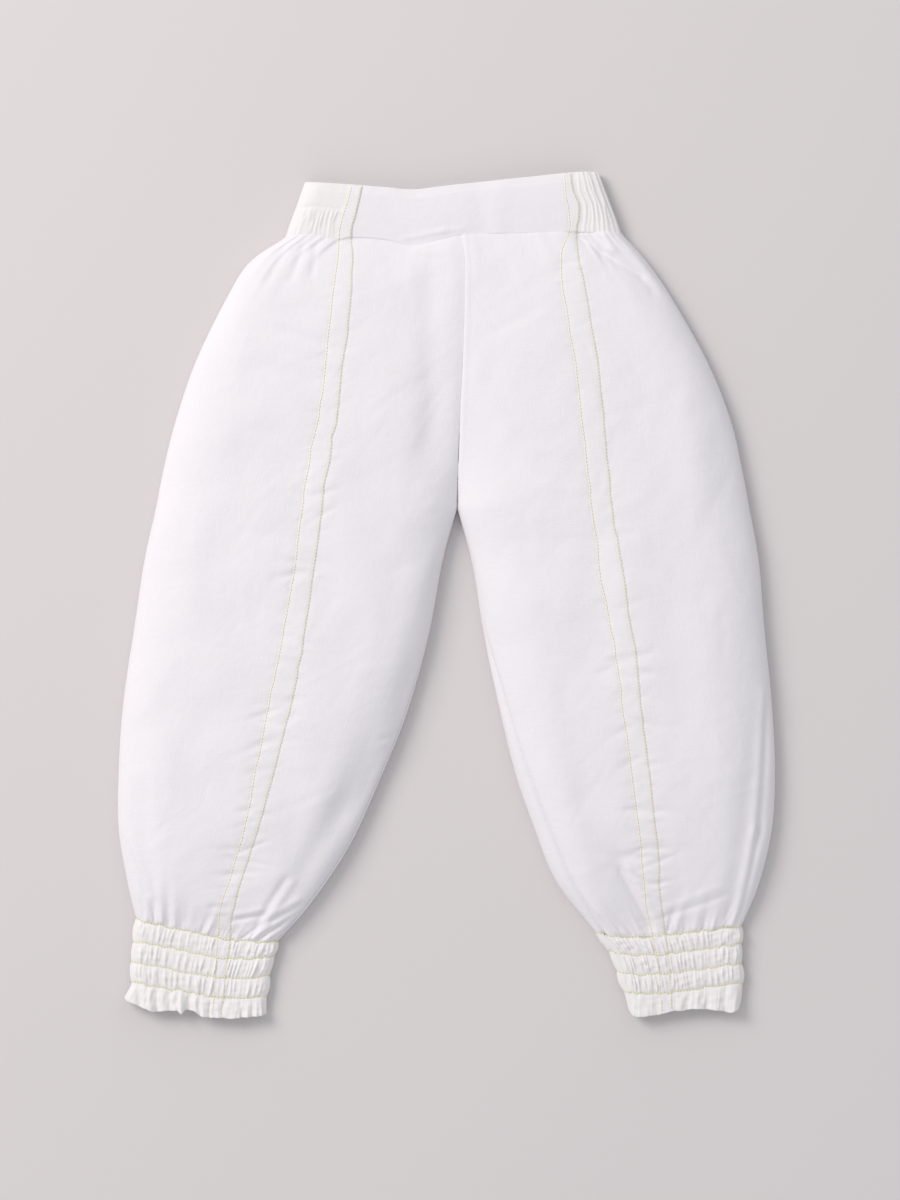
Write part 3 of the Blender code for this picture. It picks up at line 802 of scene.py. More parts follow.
# %% The cotton materials
# Repeats for each metre: threads, slubs across and along their thread, crinkles and clouds
THREADS = 1900.0
SLUB_ACROSS, SLUB_ALONG = 1100.0, 60.0
CRINKLES = 170.0
CLOUDS = 22.0
# The strength of the bump of weave and slubs, and each kind's depth in metres
WEAVE_BUMP, WEAVE_DEPTH = 0.35, 0.00012
SLUB_BUMP, SLUB_DEPTH = 0.5, 0.0002
CRINKLE_DEPTH = 0.0007


def cotton(name, light, dark, roughness, crinkle):
    """Woven cotton: weave, slubs both ways and a crinkle, as bump and as a faint tone.

    The weave is sin(pi n u) sin(pi n v) for n threads a metre. The tone is half the slubs
    and half a soft cloud, and the slubs are a little rougher than the rest.
    """
    material, tree, shader = new_material(name)
    uv = node(tree, "UVMap", uv_map="cloth").outputs[0]
    turns = scaled(tree, uv, math.pi * THREADS, math.pi * THREADS)
    parts = node(tree, "SeparateXYZ", {0: turns}).outputs
    weave = maths(tree, "MULTIPLY", maths(tree, "SINE", parts[0]), maths(tree, "SINE", parts[1]))
    along = noise(tree, scaled(tree, uv, SLUB_ACROSS, SLUB_ALONG), 3.0)
    across = noise(tree, scaled(tree, uv, SLUB_ALONG, SLUB_ACROSS), 3.0)
    slub = maths(tree, "ADD", along, across)
    creased = noise(tree, scaled(tree, uv, CRINKLES, CRINKLES), 4.0)
    cloud = noise(tree, scaled(tree, uv, CLOUDS, CLOUDS), 2.0)
    tone = maths(tree, "MULTIPLY", maths(tree, "ADD", slub, cloud), 0.5)
    rough = {0: slub, 1: 0.6, 2: 1.4, 3: roughness - 0.06, 4: roughness + 0.04}
    relief = bump(tree, weave, WEAVE_BUMP, WEAVE_DEPTH)
    relief = bump(tree, slub, SLUB_BUMP, SLUB_DEPTH, relief)
    relief = bump(tree, creased, crinkle, CRINKLE_DEPTH, relief)
    tree.links.new(two_tones(tree, tone, dark, light, 0.30, 0.70), shader.inputs["Base Color"])
    tree.links.new(node(tree, "MapRange", rough).outputs[0], shader.inputs["Roughness"])
    tree.links.new(relief, shader.inputs["Normal"])
    shader.inputs["Specular IOR Level"].default_value = 0.25
    shader.inputs["Sheen Weight"].default_value = 0.12
    shader.inputs["Sheen Roughness"].default_value = 0.5
    return material


white_cotton = cotton("white_cotton", (0.855, 0.834, 0.872), (0.822, 0.802, 0.842), 0.88, 0.4)
shirred_cotton = cotton("shirred_cotton", (0.86, 0.84, 0.845), (0.82, 0.80, 0.808), 0.9, 0.8)
strip_cotton = cotton("strip_cotton", (0.86, 0.842, 0.870), (0.825, 0.807, 0.838), 0.87, 0.4)
print("materials:", [m.name for m in (white_cotton, shirred_cotton, strip_cotton)])

# %% [markdown]
# Sewing thread is round and twisted from plies. These stand out by a tenth of a millimetre,
# which needs no geometry: a sine along a slant on the stitch's own UV map is enough as
# bump, and painted shade, a darker tone in the grooves between the plies, gives the line
# its grain.


# %% Thread
# The twist, in radians for each metre of thread, and the distance from a stitch's middle,
# in metres, over which it goes down into its hole and its colour fades to painted shade
TWIST = 9000.0
HOLE_START, HOLE_END = 0.00055, 0.00080


def thread(name, light, dark, hole_shade):
    """Twisted thread: plies as bump and as a tone, with painted shade between them and in its
    holes.

    A ply is a sine of the twist times the length along the stitch plus the turn round it.
    """
    material, tree, shader = new_material(name)
    uv = node(tree, "UVMap", uv_map="cloth").outputs[0]
    parts = node(tree, "SeparateXYZ", {0: uv}).outputs
    turn = maths(tree, "MULTIPLY", parts[1], 6.28)
    slant = maths(tree, "ADD", maths(tree, "MULTIPLY", parts[0], TWIST), turn)
    plies = node(tree, "MapRange", {0: maths(tree, "SINE", slant), 1: -1.0, 2: 1.0}).outputs[0]
    from_middle = maths(tree, "ABSOLUTE", parts[0])
    # painted shade in the holes: the share of the dark hole colour, rising towards the stitch's
    # ends
    hole_shade_share = node(tree, "MapRange", {0: from_middle, 1: HOLE_START, 2: HOLE_END}).outputs[0]
    # painted shade between the plies: the darker tone where the ply sine is low
    tone = two_tones(tree, plies, dark, light)
    shade = node(tree, "Mix", {0: hole_shade_share, 6: tone, 7: (*hole_shade, 1.0)}, data_type="RGBA")
    tree.links.new(shade.outputs[2], shader.inputs["Base Color"])
    tree.links.new(bump(tree, plies, 0.4, 0.0001), shader.inputs["Normal"])
    shader.inputs["Roughness"].default_value = 0.55
    shader.inputs["Sheen Weight"].default_value = 0.2
    return material


# colours: light and dark plies, the dark one painted shade between them, and the painted shade of
# the holes
lemon_thread = thread("lemon_thread", (0.88, 0.84, 0.50), (0.75, 0.69, 0.30), (0.34, 0.27, 0.09))
print("material:", lemon_thread.name)

# %% [markdown]
# ## Creases, gathers and puckers
# A garment that has been worn, washed and laid out has three kinds of relief. Creases lie
# where it was folded, and are placed one by one, each with its own size. Gathers start at a
# seam that draws the cloth in, and fan out and fade away from it. Puckers are the small
# dents across a stitched line, where the thread is a little tighter than the cloth. All are
# heights added along the cloth's normals, so they never change the outline by much.

# %% Creases placed one by one, on top of the large folds
CREASES = {
    "right": table(
        FOLD_COLUMNS,
        (-94, 157, -75, 149, 3.0, -0.7),
        (-96, 151, -78, 143, 3.5, 0.45),
        (-108, 136, -84, 128, 4.5, -0.5),
        (-28, -63, -61, -129, 12, -0.8),
        (-61, -129, -88, -171, 10, -0.8),
        (-37, -85.5, -30, -86.5, 1.4, -0.6),
        (-38, -89, -29, -91, 2.2, 0.4),
        (-139, -186, -132, -186.5, 1.5, -0.8),
        (-126, -194, -111, -191, 1.5, -1.1),
        (-125, -190.5, -110, -187.5, 2.0, 0.8),
        (-103, -194, -88, -186, 1.6, -1.0),
        (-103, -190, -89, -182, 2.0, 0.7),
        (-113, -196, -97, -171, 2.2, -1.0),
        (-108, -195, -92, -172, 2.4, 0.7),
        (-193, -147, -179, -177, 2.2, -1.0),
        (-189, -146, -175, -178, 2.6, 0.6),
        (-194.7, -123, -187, -171, 2.2, -0.8),
        (-12, 190, -9, 80, 7.0, -0.5),
        (-4, 120, -20, 70, 6.0, -0.5),
        (-150, 60, -128, 40, 10.0, -0.5),
        (-170, -60, -150, -110, 9.0, -0.6),
        (-160, 20, -140, -30, 10.0, 0.4),
        (-110, -60, -80, -100, 9.0, 0.5),
        (-50, 20, -40, -40, 11.0, 0.5),
        (-120, 190, -100, 175, 5.0, 0.5),
        (-86, 206, -92, 190, 2.4, -0.7),
        (-78, 207, -80, 192, 2.2, -0.5),
        (-98, 203, -106, 188, 2.6, -0.6),
        (-18, 10, -38, -80, 9.0, 1.4)),
    "left": table(
        FOLD_COLUMNS,
        (80, 213, 93, 204, 1.8, -1.0),
        (93, 204, 116, 190, 2.0, -1.1),
        (84, 215, 98, 206, 2.0, 0.7),
        (98, 206, 122, 193, 2.6, 0.9),
        (105, 214, 128, 184, 2.6, 0.7),
        (100, 212, 123, 181, 2.4, -0.5),
        (193, -63, 187, -141, 2.6, -1.0),
        (187, -141, 176, -195, 2.2, -1.1),
        (189, -60, 183, -141, 3.0, 0.7),
        (183, -141, 172, -193, 2.6, 0.7),
        (104, -165, 122, -198, 2.0, -1.0),
        (109, -163, 127, -196, 2.4, 0.8),
        (131, -192, 164, -180, 2.0, -0.6),
        (130, -187, 160, -175, 2.4, 0.45),
        (104, 36, 110, 36.5, 1.5, -0.5),
        (64, -168.5, 85, -192, 1.8, -1.1),
        (68, -165, 90, -190, 2.2, 0.8),
        (60, 170, 40, 120, 12.0, 0.4),
        (40, 60, 52, 10, 11.0, -0.45),
        (24, 96, 44, 74, 7.0, -0.45),
        (18, 130, 34, 98, 6.0, 0.35),
        (130, 20, 140, -50, 12.0, -0.5),
        (150, -20, 160, -90, 12.0, 0.5),
        (70, -60, 84, -120, 9.0, -0.5),
        (100, -86, 104, -130, 8.0, 0.4),
        (66, -164, 87, -192, 1.6, -0.7)),
}


print("creases placed by hand:", sum(len(c["height"]) for c in CREASES.values()))


# %% Faint creases and waves
def scattered_creases(side, count, seed):
    """Short shallow creases at random places and angles, as on cloth that was handled.

    A place is a share of the way across the leg at a row of its outline, fractions too.
    """
    rng = chance(side, seed)
    outline = OUTLINE[side]
    share = rng.uniform(0.05, 0.95, count)
    at = rng.uniform(0.5, 12.4, count)
    x = curve_at(outline["outer_x"], at) * (1 - share) + curve_at(outline["inner_x"], at) * share
    y = curve_at(outline["outer_y"], at) * (1 - share) + curve_at(outline["inner_y"], at) * share
    angle = rng.normal(0.3, 0.9, count)
    run = rng.uniform(4, 22, count)
    width = rng.uniform(1.2, 4.5, count)
    height = rng.choice([-1.0, 0.8], count) * rng.uniform(0.03, 0.13, count) * width ** 0.6
    run_x, run_y = run * np.cos(angle), run * np.sin(angle)
    columns = (x - run_x, y - run_y, x + run_x, y + run_y, width, height)
    return dict(zip(FOLD_COLUMNS.split(), columns))


def soft_waves(x, y, wavelength, height, rng, count=18):
    """Plane waves of about one wavelength in all directions, added up."""
    total = np.zeros_like(x)
    for _ in range(count):
        angle, phase = rng.uniform(0, math.pi), rng.uniform(0, 2 * math.pi)
        k = 2 * math.pi / (wavelength * rng.uniform(0.7, 1.5))
        total += np.sin(k * (x * math.cos(angle) + y * math.sin(angle)) + phase)
    return total * height / math.sqrt(count / 2)


# %% Gathers and puckers
def gathers(share, away, centres, half_widths, heights, reaches, slants):
    """Ridges that start at a seam at these shares of its length.

    Each is a bell across, whose width grows with the distance away from the seam, and it
    fades with that distance over its own reach.
    """
    total = np.zeros_like(share)
    for centre, half, height, reach, slant in zip(centres, half_widths, heights, reaches, slants):
        spread = half * (1 + away / (1.3 * reach))
        off = (share - centre - slant * away) / spread
        total += height * np.exp(-off ** 2) * np.exp(-(away / reach) ** 1.5)
    return total


def puckers(beside, along, places, half_widths, heights, reaches, slants):
    """Short dents across a stitched line, each fading to both sides over its own reach."""
    total = np.zeros_like(beside)
    for place, half, height, reach, slant in zip(places, half_widths, heights, reaches, slants):
        off = (along - place - slant * beside) / half
        total += height * np.exp(-off ** 2 - (beside / reach) ** 2)
    return total


def uneven_places(rng, first, last, least, most):
    """Places between first and last whose spaces vary from least to most."""
    places = [first]
    while places[-1] < last:
        places.append(places[-1] + rng.uniform(least, most))
    return np.array(places[:-1])


# %% Gathers and puckers that the photograph shows
# Longer gathers over the cuffs, by their place across the foot of the leg
CUFF_GATHERS = {
    "right": table(
        "x half_width height reach slant",
        (-181.5, 1.0, -0.9, 14, 0.05), (-178.5, 1.3, 0.8, 22, 0.06), (-174.5, 1.0, -1.0, 17, 0.05),
        (-170.5, 1.3, 0.8, 25, 0.0), (-166.5, 1.0, -1.1, 21, 0.0), (-162.5, 1.3, 0.8, 20, -0.03),
        (-158.0, 1.0, -0.8, 13, 0.03), (-147.0, 1.1, -0.9, 11, 0.1), (-143.5, 1.2, 0.7, 14, 0.1),
        (-124.0, 1.0, -1.0, 12, 0.5), (-119.0, 1.3, 0.8, 18, 0.5), (-114.5, 1.1, -1.1, 23, 0.55),
        (-110.0, 1.3, 0.8, 22, 0.55), (-105.5, 0.9, -0.8, 13, 0.5)),
    "left": table(
        "x half_width height reach slant",
        (173.5, 1.0, -0.9, 17, 0.1), (169.5, 1.3, 0.8, 23, 0.05), (165.0, 1.0, -1.0, 14, 0.0),
        (158.5, 1.0, 0.6, 10, 0.0), (153.0, 1.0, -0.8, 13, 0.05), (148.0, 1.2, 0.6, 14, 0.1),
        (142.0, 1.0, -0.6, 9, 0.1), (136.0, 1.2, 0.7, 17, 0.3), (131.5, 1.0, -0.9, 14, 0.35),
        (118.0, 1.1, 0.7, 12, -0.2), (112.0, 1.1, -0.9, 19, -0.35), (105.0, 1.3, 0.8, 20, -0.4),
        (99.5, 0.9, -0.7, 12, -0.4)),
}

# Places down the legs, on the Y axis, where the photograph shows stronger puckers
STRONG_PUCKERS = {
    "right": (60, 48, 21, 12, -27, -39, -63, -70, -76, -90, -129, -150, -158, -166),
    "left": (-5, -36, -42, -48, -60, -79, -99, -126, -153, -157, -171),
}
print("long gathers:", {side: len(CUFF_GATHERS[side]["x"]) for side in SIDES})

# %% [markdown]
# ## Pleats of the cuffs
# Elastic thread is sewn in rows round the cuff, and the cloth between two rows stands up in
# narrow pleats that run on, a little shifted, into the next band. So each row gets a list of
# pleat places, and a pleat leans from its place on one row to its place on the next.

# %% Pleat places
CUFF_WIDTH = 88.0


def pleat_places(side):
    """Places of the pleats on the five rows, as shares of the front's width."""
    rng = chance(side, 11)
    start = uneven_places(rng, 1.4, CUFF_WIDTH - 1.2, 1.5, 3.4) / CUFF_WIDTH
    rows = [start]
    for _ in range(SHIRRED_ROWS):
        step = rng.normal(0, 0.65, len(start)) / CUFF_WIDTH
        lean = (-0.010 * start - 0.003) if side == "right" else 0.007
        rows.append(np.clip(rows[-1] + step + lean, 0.008, 0.992))
    return np.array(rows)


PLEATS = {side: pleat_places(side) for side in SIDES}
print("pleats:", {side: rows.shape[1] for side, rows in PLEATS.items()})

# %% The larger waves of the frill, by their place across the hem
FRILL = {
    "right": table(
        "x half_width height",
        (-190.5, 3.0, 1.0), (-184.0, 1.6, -0.9), (-180.6, 1.0, 0.7), (-177.0, 1.7, 1.7),
        (-173.2, 1.0, -1.3), (-169.5, 1.5, 0.9), (-165.6, 0.9, -0.9), (-162.6, 1.2, 0.7),
        (-158.6, 1.4, 2.0), (-154.2, 1.9, -2.3), (-149.8, 1.3, 1.5), (-145.4, 1.7, 1.2),
        (-141.6, 0.8, -0.9), (-136.6, 1.4, 0.6), (-128.0, 3.2, 0.8), (-122.6, 0.9, -1.1),
        (-119.0, 1.2, 1.0), (-116.2, 0.8, -0.7), (-113.6, 1.0, 0.8), (-110.8, 1.2, 0.9)),
    "left": table(
        "x half_width height",
        (171.5, 2.4, 1.2), (166.5, 1.4, -0.8), (161.0, 2.6, 1.0), (155.0, 2.2, -0.9),
        (149.5, 3.0, 0.9), (144.0, 1.6, -0.9), (139.5, 2.0, 0.8), (126.0, 1.6, -0.6),
        (118.0, 5.0, 0.5)),
}
FRILL_GAIN = 1.25
print("waves of the frills:", {side: len(FRILL[side]["x"]) for side in SIDES})

# %% Relief of a cuff's front
# The swell of the cloth between two rows and of the frill, and how steeply it starts
PUFF, FRILL_PUFF = 1.2, 0.6
SWELL = 0.6
# The pitch of the rows, the height of the unevenness between them, and the groove that
# the elastic thread draws along each row, with its half width as a share of the pitch
ROW_PITCH = 11.8
UNEVEN = 0.14
GROOVE, GROOVE_HALF = 0.3, 0.07


def cuff_relief(side, share, x):
    """Heights over a cuff's front, worked out band by band.

    In a band the cloth puffs out like half a sine between its two rows. The pleats are
    bells across, and each stands highest at its own place between the rows. In the frill
    they open towards the hem, and its larger waves take over.
    """
    rng = chance(side, 21)
    rows = PLEATS[side]
    count = rows.shape[1]
    at = np.linspace(0, SHIRRED_ROWS, len(share))[:, None]
    total = np.zeros_like(share)
    for band in range(SHIRRED_ROWS):
        shirred = band < FRILL_BAND
        w = np.clip(at - band, 0, 1)
        swell = np.sin(math.pi * w) ** SWELL
        inside = (at >= band) & ((at < band + 1) | (not shirred))
        half = rng.uniform(0.4, 0.95, count) / CUFF_WIDTH
        height = rng.uniform(0.4, 1.5, count) * rng.choice([1.0, 0.3], count, p=[0.8, 0.2])
        bow = rng.normal(0, 0.45, count) / CUFF_WIDTH
        peak, reach = rng.uniform(0.25, 0.75, count), rng.uniform(0.3, 0.75, count)
        envelope = 0.12 + 0.88 * swell if shirred else 0.2 + 0.2 * np.sqrt(w)
        pleats = np.zeros_like(share)
        for k in range(count):
            centre = rows[band, k] * (1 - w) + rows[band + 1, k] * w + bow[k] * np.sin(math.pi * w)
            standing = np.exp(-((w - peak[k]) / reach[k]) ** 2) if shirred else 0.6
            pleats += height[k] * standing * np.exp(-((share - centre) / half[k]) ** 2)
        puff = PUFF * swell if shirred else FRILL_PUFF * np.sin(math.pi * np.minimum(w, 0.6))
        total += np.where(inside, envelope * (pleats - 0.5) + puff, 0.0)
    nearest = np.abs(at - np.minimum(np.round(at), FRILL_BAND))
    uneven = soft_waves(x, at * ROW_PITCH, 4.5, UNEVEN, np.random.default_rng(23))
    total += uneven * np.minimum(1.0, nearest * 4)
    total -= GROOVE * np.exp(-(nearest / GROOVE_HALF) ** 2)
    frill = np.clip(at - FRILL_BAND, 0, 1)
    for place, half, height in zip(*FRILL[side].values()):
        total += FRILL_GAIN * height * frill ** 0.8 * np.exp(-((x - place) / half) ** 2)
    return total


# %% [markdown]
# ## The front panels
# Each front is one panel from the waist seam to the cuff. Its grid shares the strip's
# columns, so that the strip can be laid on it point for point.

# %% How the rows of shirring stray
ROW_STRAY = 0.42
STRAY_SEED = {"right": 500, "left": 400}
STRAY_SPACES, STRAY_COUNT, STRAY_START = (1.6, 3.6), 150, -200.0
# How far above the first row, in millimetres, the leg strays with it
STRAY_REACH = 2.4


def row_stray(x, side, row):
    """How far a row of shirring strays along the leg from its line, at these places across."""
    seed = STRAY_SEED[side] + row
    return random_line(x, seed, STRAY_COUNT, STRAY_SPACES, STRAY_START, ROW_STRAY)


strays = [round(float(row_stray(150.0, "left", row)), 2) for row in range(SHIRRED_ROWS)]
print("strays of the left rows at x = 150 mm:", strays)

# %% Relief of a front panel
# Gathers under the elastic, from the side seam to the strip
WAIST_GATHERS = {"right": 13, "left": 9}
SLACK_GATHERS = 7
PLACED_GAIN = 1.4
# The panel dips under the waistband, and the cuff's first row draws it in: how deep, and
# over how far
WAIST_DIP, WAIST_DIP_REACH = 0.45, 1.1
CUFF_DIP, CUFF_DIP_REACH = 0.25, 1.2


def leg_relief(side, points, share, down):
    """All the small relief of a front panel, in millimetres along its normals.

    Creases, waves and gathers are added up, and fade to a plain dip at both ends.
    """
    rng = chance(side, 31)
    x, y = points[..., 0], points[..., 1]
    total = crease_height(x, y, CREASES[side])
    total += crease_height(x, y, scattered_creases(side, 130, 41))
    total += soft_waves(x, y, 60.0, 0.28, chance(side, 51))
    total += soft_waves(x, y, 24.0, 0.07, chance(side, 53))
    away_waist = down
    away_cuff = down[-1] - down
    # under the elastic
    count = WAIST_GATHERS[side]
    centres = np.linspace(0.03, 0.30, count) + rng.normal(0, 0.006, count)
    total += gathers(
        share, away_waist, centres, rng.uniform(0.007, 0.013, count), rng.uniform(0.3, 0.9, count),
        rng.uniform(7, 24, count), rng.normal(0, 0.0006, count))
    # a few slack gathers under the flat front
    count = SLACK_GATHERS
    centres = rng.uniform(0.38, 0.98, count)
    total += gathers(
        share, away_waist, centres, rng.uniform(0.012, 0.03, count), rng.uniform(0.1, 0.3, count),
        rng.uniform(10, 30, count), rng.normal(0, 0.0006, count))
    # above the cuff, from the pleats of its first row
    centres = PLEATS[side][0]
    count = len(centres)
    strength = 0.55 + 0.45 * np.abs(2 * centres - 1)
    total += gathers(
        share, away_cuff, centres, rng.uniform(0.006, 0.011, count),
        strength * rng.uniform(0.2, 1.5, count), rng.uniform(3, 11, count),
        rng.normal(0, 0.001, count))
    placed = CUFF_GATHERS[side]
    foot = points[-1, -1, 0] - points[-1, 0, 0]
    total += gathers(
        share, away_cuff, (placed["x"] - points[-1, 0, 0]) / foot, placed["half_width"] / abs(foot),
        PLACED_GAIN * placed["height"], placed["reach"], placed["slant"] / foot)
    tucked = np.exp(-(away_waist / WAIST_DIP_REACH) ** 2)
    drawn_in = np.exp(-(away_cuff / CUFF_DIP_REACH) ** 2)
    return total * (1 - tucked) * (1 - drawn_in) - WAIST_DIP * tucked - CUFF_DIP * drawn_in


# %% Puckers along the strips
# The groove that the thread presses into the panel along each line
SEWN_GROOVE, SEWN_GROOVE_HALF = 0.14, 1.1


def strip_puckers(side, points, from_strip, down):
    """Dents on both sides of the strip's two stitched lines, and a groove along each."""
    rng = chance(side, 61)
    total = np.zeros(points.shape[:2])
    length = down[-1, 0]
    fine = uneven_places(rng, 4.0, length - 2, 2.2, 5.5)
    row_y = points[:, points.shape[1] // 2, 1]
    strong = np.interp(-np.array(STRONG_PUCKERS[side], float), -row_y, down[:, 0])
    for edge in (-1, 1):
        beside = from_strip[edge]
        count = len(fine)
        total += puckers(
            beside, down, fine + rng.normal(0, 0.8, count), rng.uniform(0.9, 1.9, count),
            rng.uniform(-0.45, -0.08, count), rng.uniform(2.0, 7.5, count),
            rng.normal(0, 0.3, count))
        count = len(strong)
        total += puckers(
            beside, down, strong + rng.normal(0, 1.5, count), rng.uniform(1.2, 2.4, count),
            rng.uniform(-0.9, -0.5, count), rng.uniform(5.0, 12.0, count),
            rng.normal(0, 0.3, count))
        total -= SEWN_GROOVE * np.exp(-(beside / SEWN_GROOVE_HALF) ** 2)
    return total


# %% Front panels
LEG_OUTSIDE, LEG_INSIDE = 70, 58
fronts = {}
# How far in from the side edges the relief fades, so that they stay joined to the backs,
# and the share of it that stays at the centre seam
EDGE_HOLD = 9
CENTRE_SHARE = 0.4


def inseam_valley(y, distance):
    """An inseam is a soft valley with a narrow groove in it, both fading above the knee."""
    valley = 1.1 * np.exp(-(distance / 2.4) ** 2) + 0.8 * np.exp(-(distance / 1.0) ** 2)
    return valley * smooth_step((-y - 10) / 50)


def front_leg(side):
    """The displaced grid of a front panel, with the map and columns for what lies on it.

    A point of the cloth is the form's point plus its normal times the relief.
    """
    tube = tubes[side][1]
    lengths, (first, last) = front_columns(tube, STRIP[side], LEG_OUTSIDE, LEG_INSIDE)
    points, normals = tube.top.read(lengths)
    middle = lengths[:, (first + last) // 2][:, None]
    uv = uv_grid(points, lengths, middle)
    down = -uv[..., 1]
    share = (lengths - lengths[:, :1]) / (lengths[:, -1:] - lengths[:, :1])
    stitched = {-1: lengths - lengths[:, first + STITCH_COLUMN][:, None],
                1: lengths - lengths[:, last - STITCH_COLUMN][:, None]}
    relief = leg_relief(side, points, share, down) + strip_puckers(side, points, stitched, down)
    above_crotch = smooth_step((points[:, -1, 1] - 56) / 24)[:, None]
    from_centre = lengths[:, -1:] - lengths
    outer_hold = smooth_step((lengths - lengths[:, :1]) / EDGE_HOLD)
    inner_hold = smooth_step(from_centre / EDGE_HOLD)
    relief *= outer_hold * (inner_hold + (1 - inner_hold) * above_crotch * CENTRE_SHARE)
    # a dip on the right and a ridge on the left make the centre seam, and the left leg's
    # inseam lies further up on the front, so its valley is the deeper one
    if side == "right":
        relief -= above_crotch * 0.2 * np.exp(-(from_centre / 3.0) ** 2)
        relief -= 0.2 * inseam_valley(points[:, -1:, 1], from_centre * 1.4)
    else:
        relief += above_crotch * 0.3 * np.exp(-((from_centre - 1.6) / 1.6) ** 2)
        relief -= inseam_valley(points[:, -1:, 1], from_centre)
    outer = points + normals * relief[..., None]
    near_cuff = np.exp(-((down[-1] - down) / STRAY_REACH) ** 2)
    outer[..., 1] += row_stray(points[..., 0], side, 0) * near_cuff
    return {"points": outer, "normals": normals, "uv": uv, "strip": (first, last)}


for side in SIDES:
    fronts[side] = front_leg(side)
    panel = fronts[side]
    piece = cloth_wall(
        f"front_leg_{side}_cloth", panel["points"], panel["points"] - panel["normals"] * CLOTH_WALL,
        panel["uv"], white_cotton)
    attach(piece, "root")
    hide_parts(f"front_leg_{side}")
    panel["piece"] = piece
    print(piece.name, len(piece.data.polygons), "faces")

# %% [markdown]
# ## The back panels
# The backs lie flat on the table. Only their turned-up edges show from above, but the
# garment is looked at from all sides, so they get shallow creases too, pressed inwards and
# never below the table.

# %% Back panels
BACK_EDGE, BACK_FLAT = 12, 34
DEEPEST_DENT = 0.6


def back_leg(side):
    """A back panel's grid: level below, with dents that lift the cloth off the table.

    A point of the cloth is the form's point less its normal times the dent.
    """
    tube = leg_tube(side, LEG_ROW_COUNT // 2 + 1)
    lengths = back_columns(tube, BACK_EDGE, BACK_FLAT)
    points, normals = tube.read_round(lengths)
    x, y = points[..., 0], points[..., 1]
    dents = crease_height(x, y, scattered_creases(side, 90, 71))
    dents += soft_waves(x, y, 45.0, 0.12, chance(side, 73))
    dents = np.clip(np.abs(dents), 0.0, DEEPEST_DENT) * smooth_step((-normals[..., 2] - 0.9) / 0.1)
    if side == "left":
        # its inseam has rolled onto the front, so a valley and a ridge beside it show
        rolled = lengths[:, -1:] - lengths
        below_knee = smooth_step((-points[..., 1] - 10) / 50)
        dents = dents + inseam_valley(points[:, -1:, 1], rolled)
        dents = dents - 0.35 * below_knee * np.exp(-((rolled - 4) / 1.8) ** 2)
    points = points - normals * dents[..., None]
    uv = uv_grid(points, lengths, lengths[:, lengths.shape[1] // 2][:, None])
    near_cuff = np.exp(-((uv[..., 1] - uv[-1:, :, 1]) / STRAY_REACH) ** 2)
    points[..., 1] += row_stray(points[..., 0], side, 0) * near_cuff
    return points, normals, uv


for side in SIDES:
    points, normals, uv = back_leg(side)
    inner = points - normals * CLOTH_WALL
    piece = cloth_wall(f"back_leg_{side}_cloth", points, inner, uv, white_cotton)
    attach(piece, "root")
    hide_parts(f"back_leg_{side}")
    print(piece.name, len(piece.data.polygons), "faces")

# %% [markdown]
# ## The cuffs
# The front of a cuff carries the pleats, raised over the plain form. Its back rests on the
# table, so its pleats are low ones pressed inwards.

# %% Uneven rows and scalloped edges
# How far the edges swell between two rows, and the share of that in each band
SCALLOP = 1.3
BAND_SWELL = np.array([1.0, 0.6, 1.1, 1.0, 1.0])


def strayed(points, side):
    """The cuff's points moved along the leg, so that each shirred row runs unevenly."""
    at = np.linspace(0, SHIRRED_ROWS, len(points))[:, None]
    moved = points.copy()
    for row in range(SHIRRED_ROWS):
        moved[..., 1] += row_stray(points[..., 0], side, row) * np.exp(-((at - row) / 0.2) ** 2)
    return moved


def scalloped(points, tube):
    """Both edges of a cuff swell between the rows of shirring and are drawn in at them.

    The swell is |sin(pi a)| to the power 0.7 between rows a and a + 1. It pushes outwards
    and fades like a bell away from each edge.
    """
    at = np.linspace(0, SHIRRED_ROWS, len(points))[:, None]
    swell = SCALLOP * np.where(at < FRILL_BAND, np.abs(np.sin(math.pi * at)) ** 0.7, 0.0)
    swell = swell * BAND_SWELL[np.floor(at).astype(int)]
    across = np.sum((points[..., :2] - tube.outer[:, None]) * tube.direction[:, None], axis=-1)
    push = np.exp(-((tube.width - across) / 4) ** 2) - np.exp(-(across / 4) ** 2)
    moved = points.copy()
    moved[..., :2] += tube.direction[:, None] * (swell * push)[..., None]
    return moved


# %% Fronts and backs of the cuffs
CUFF_OUTSIDE, CUFF_INSIDE = 96, 84
CUFF_BACK_EDGE, CUFF_BACK_FLAT = 14, 60
# The share of the pleats that is left under the strip, which holds them down
UNDER_STRIP = 0.75
cuffs = {}


def cuff_front(side):
    """The grid of a cuff's front: the form's points plus their normals times the relief."""
    tube = tubes[side][2]
    lengths, (first, last) = front_columns(tube, STRIP[side], CUFF_OUTSIDE, CUFF_INSIDE)
    points, normals = tube.top.read(lengths)
    share = (lengths - lengths[:, :1]) / (lengths[:, -1:] - lengths[:, :1])
    relief = cuff_relief(side, share, points[..., 0])
    from_edge = np.minimum(lengths - lengths[:, :1], lengths[:, -1:] - lengths)
    relief *= smooth_step(from_edge / 3.0)
    middle = lengths[:, (first + last) // 2][:, None]
    half = (lengths[:, last] - lengths[:, first])[:, None] / 2
    beside = smooth_step((np.abs(lengths - middle) - half + 0.8) / 2.2)
    relief *= UNDER_STRIP + (1 - UNDER_STRIP) * beside
    outer = strayed(scalloped(points + normals * relief[..., None], tube), side)
    return {"points": outer, "normals": normals, "strip": (first, last),
            "uv": uv_grid(points, lengths, middle)}


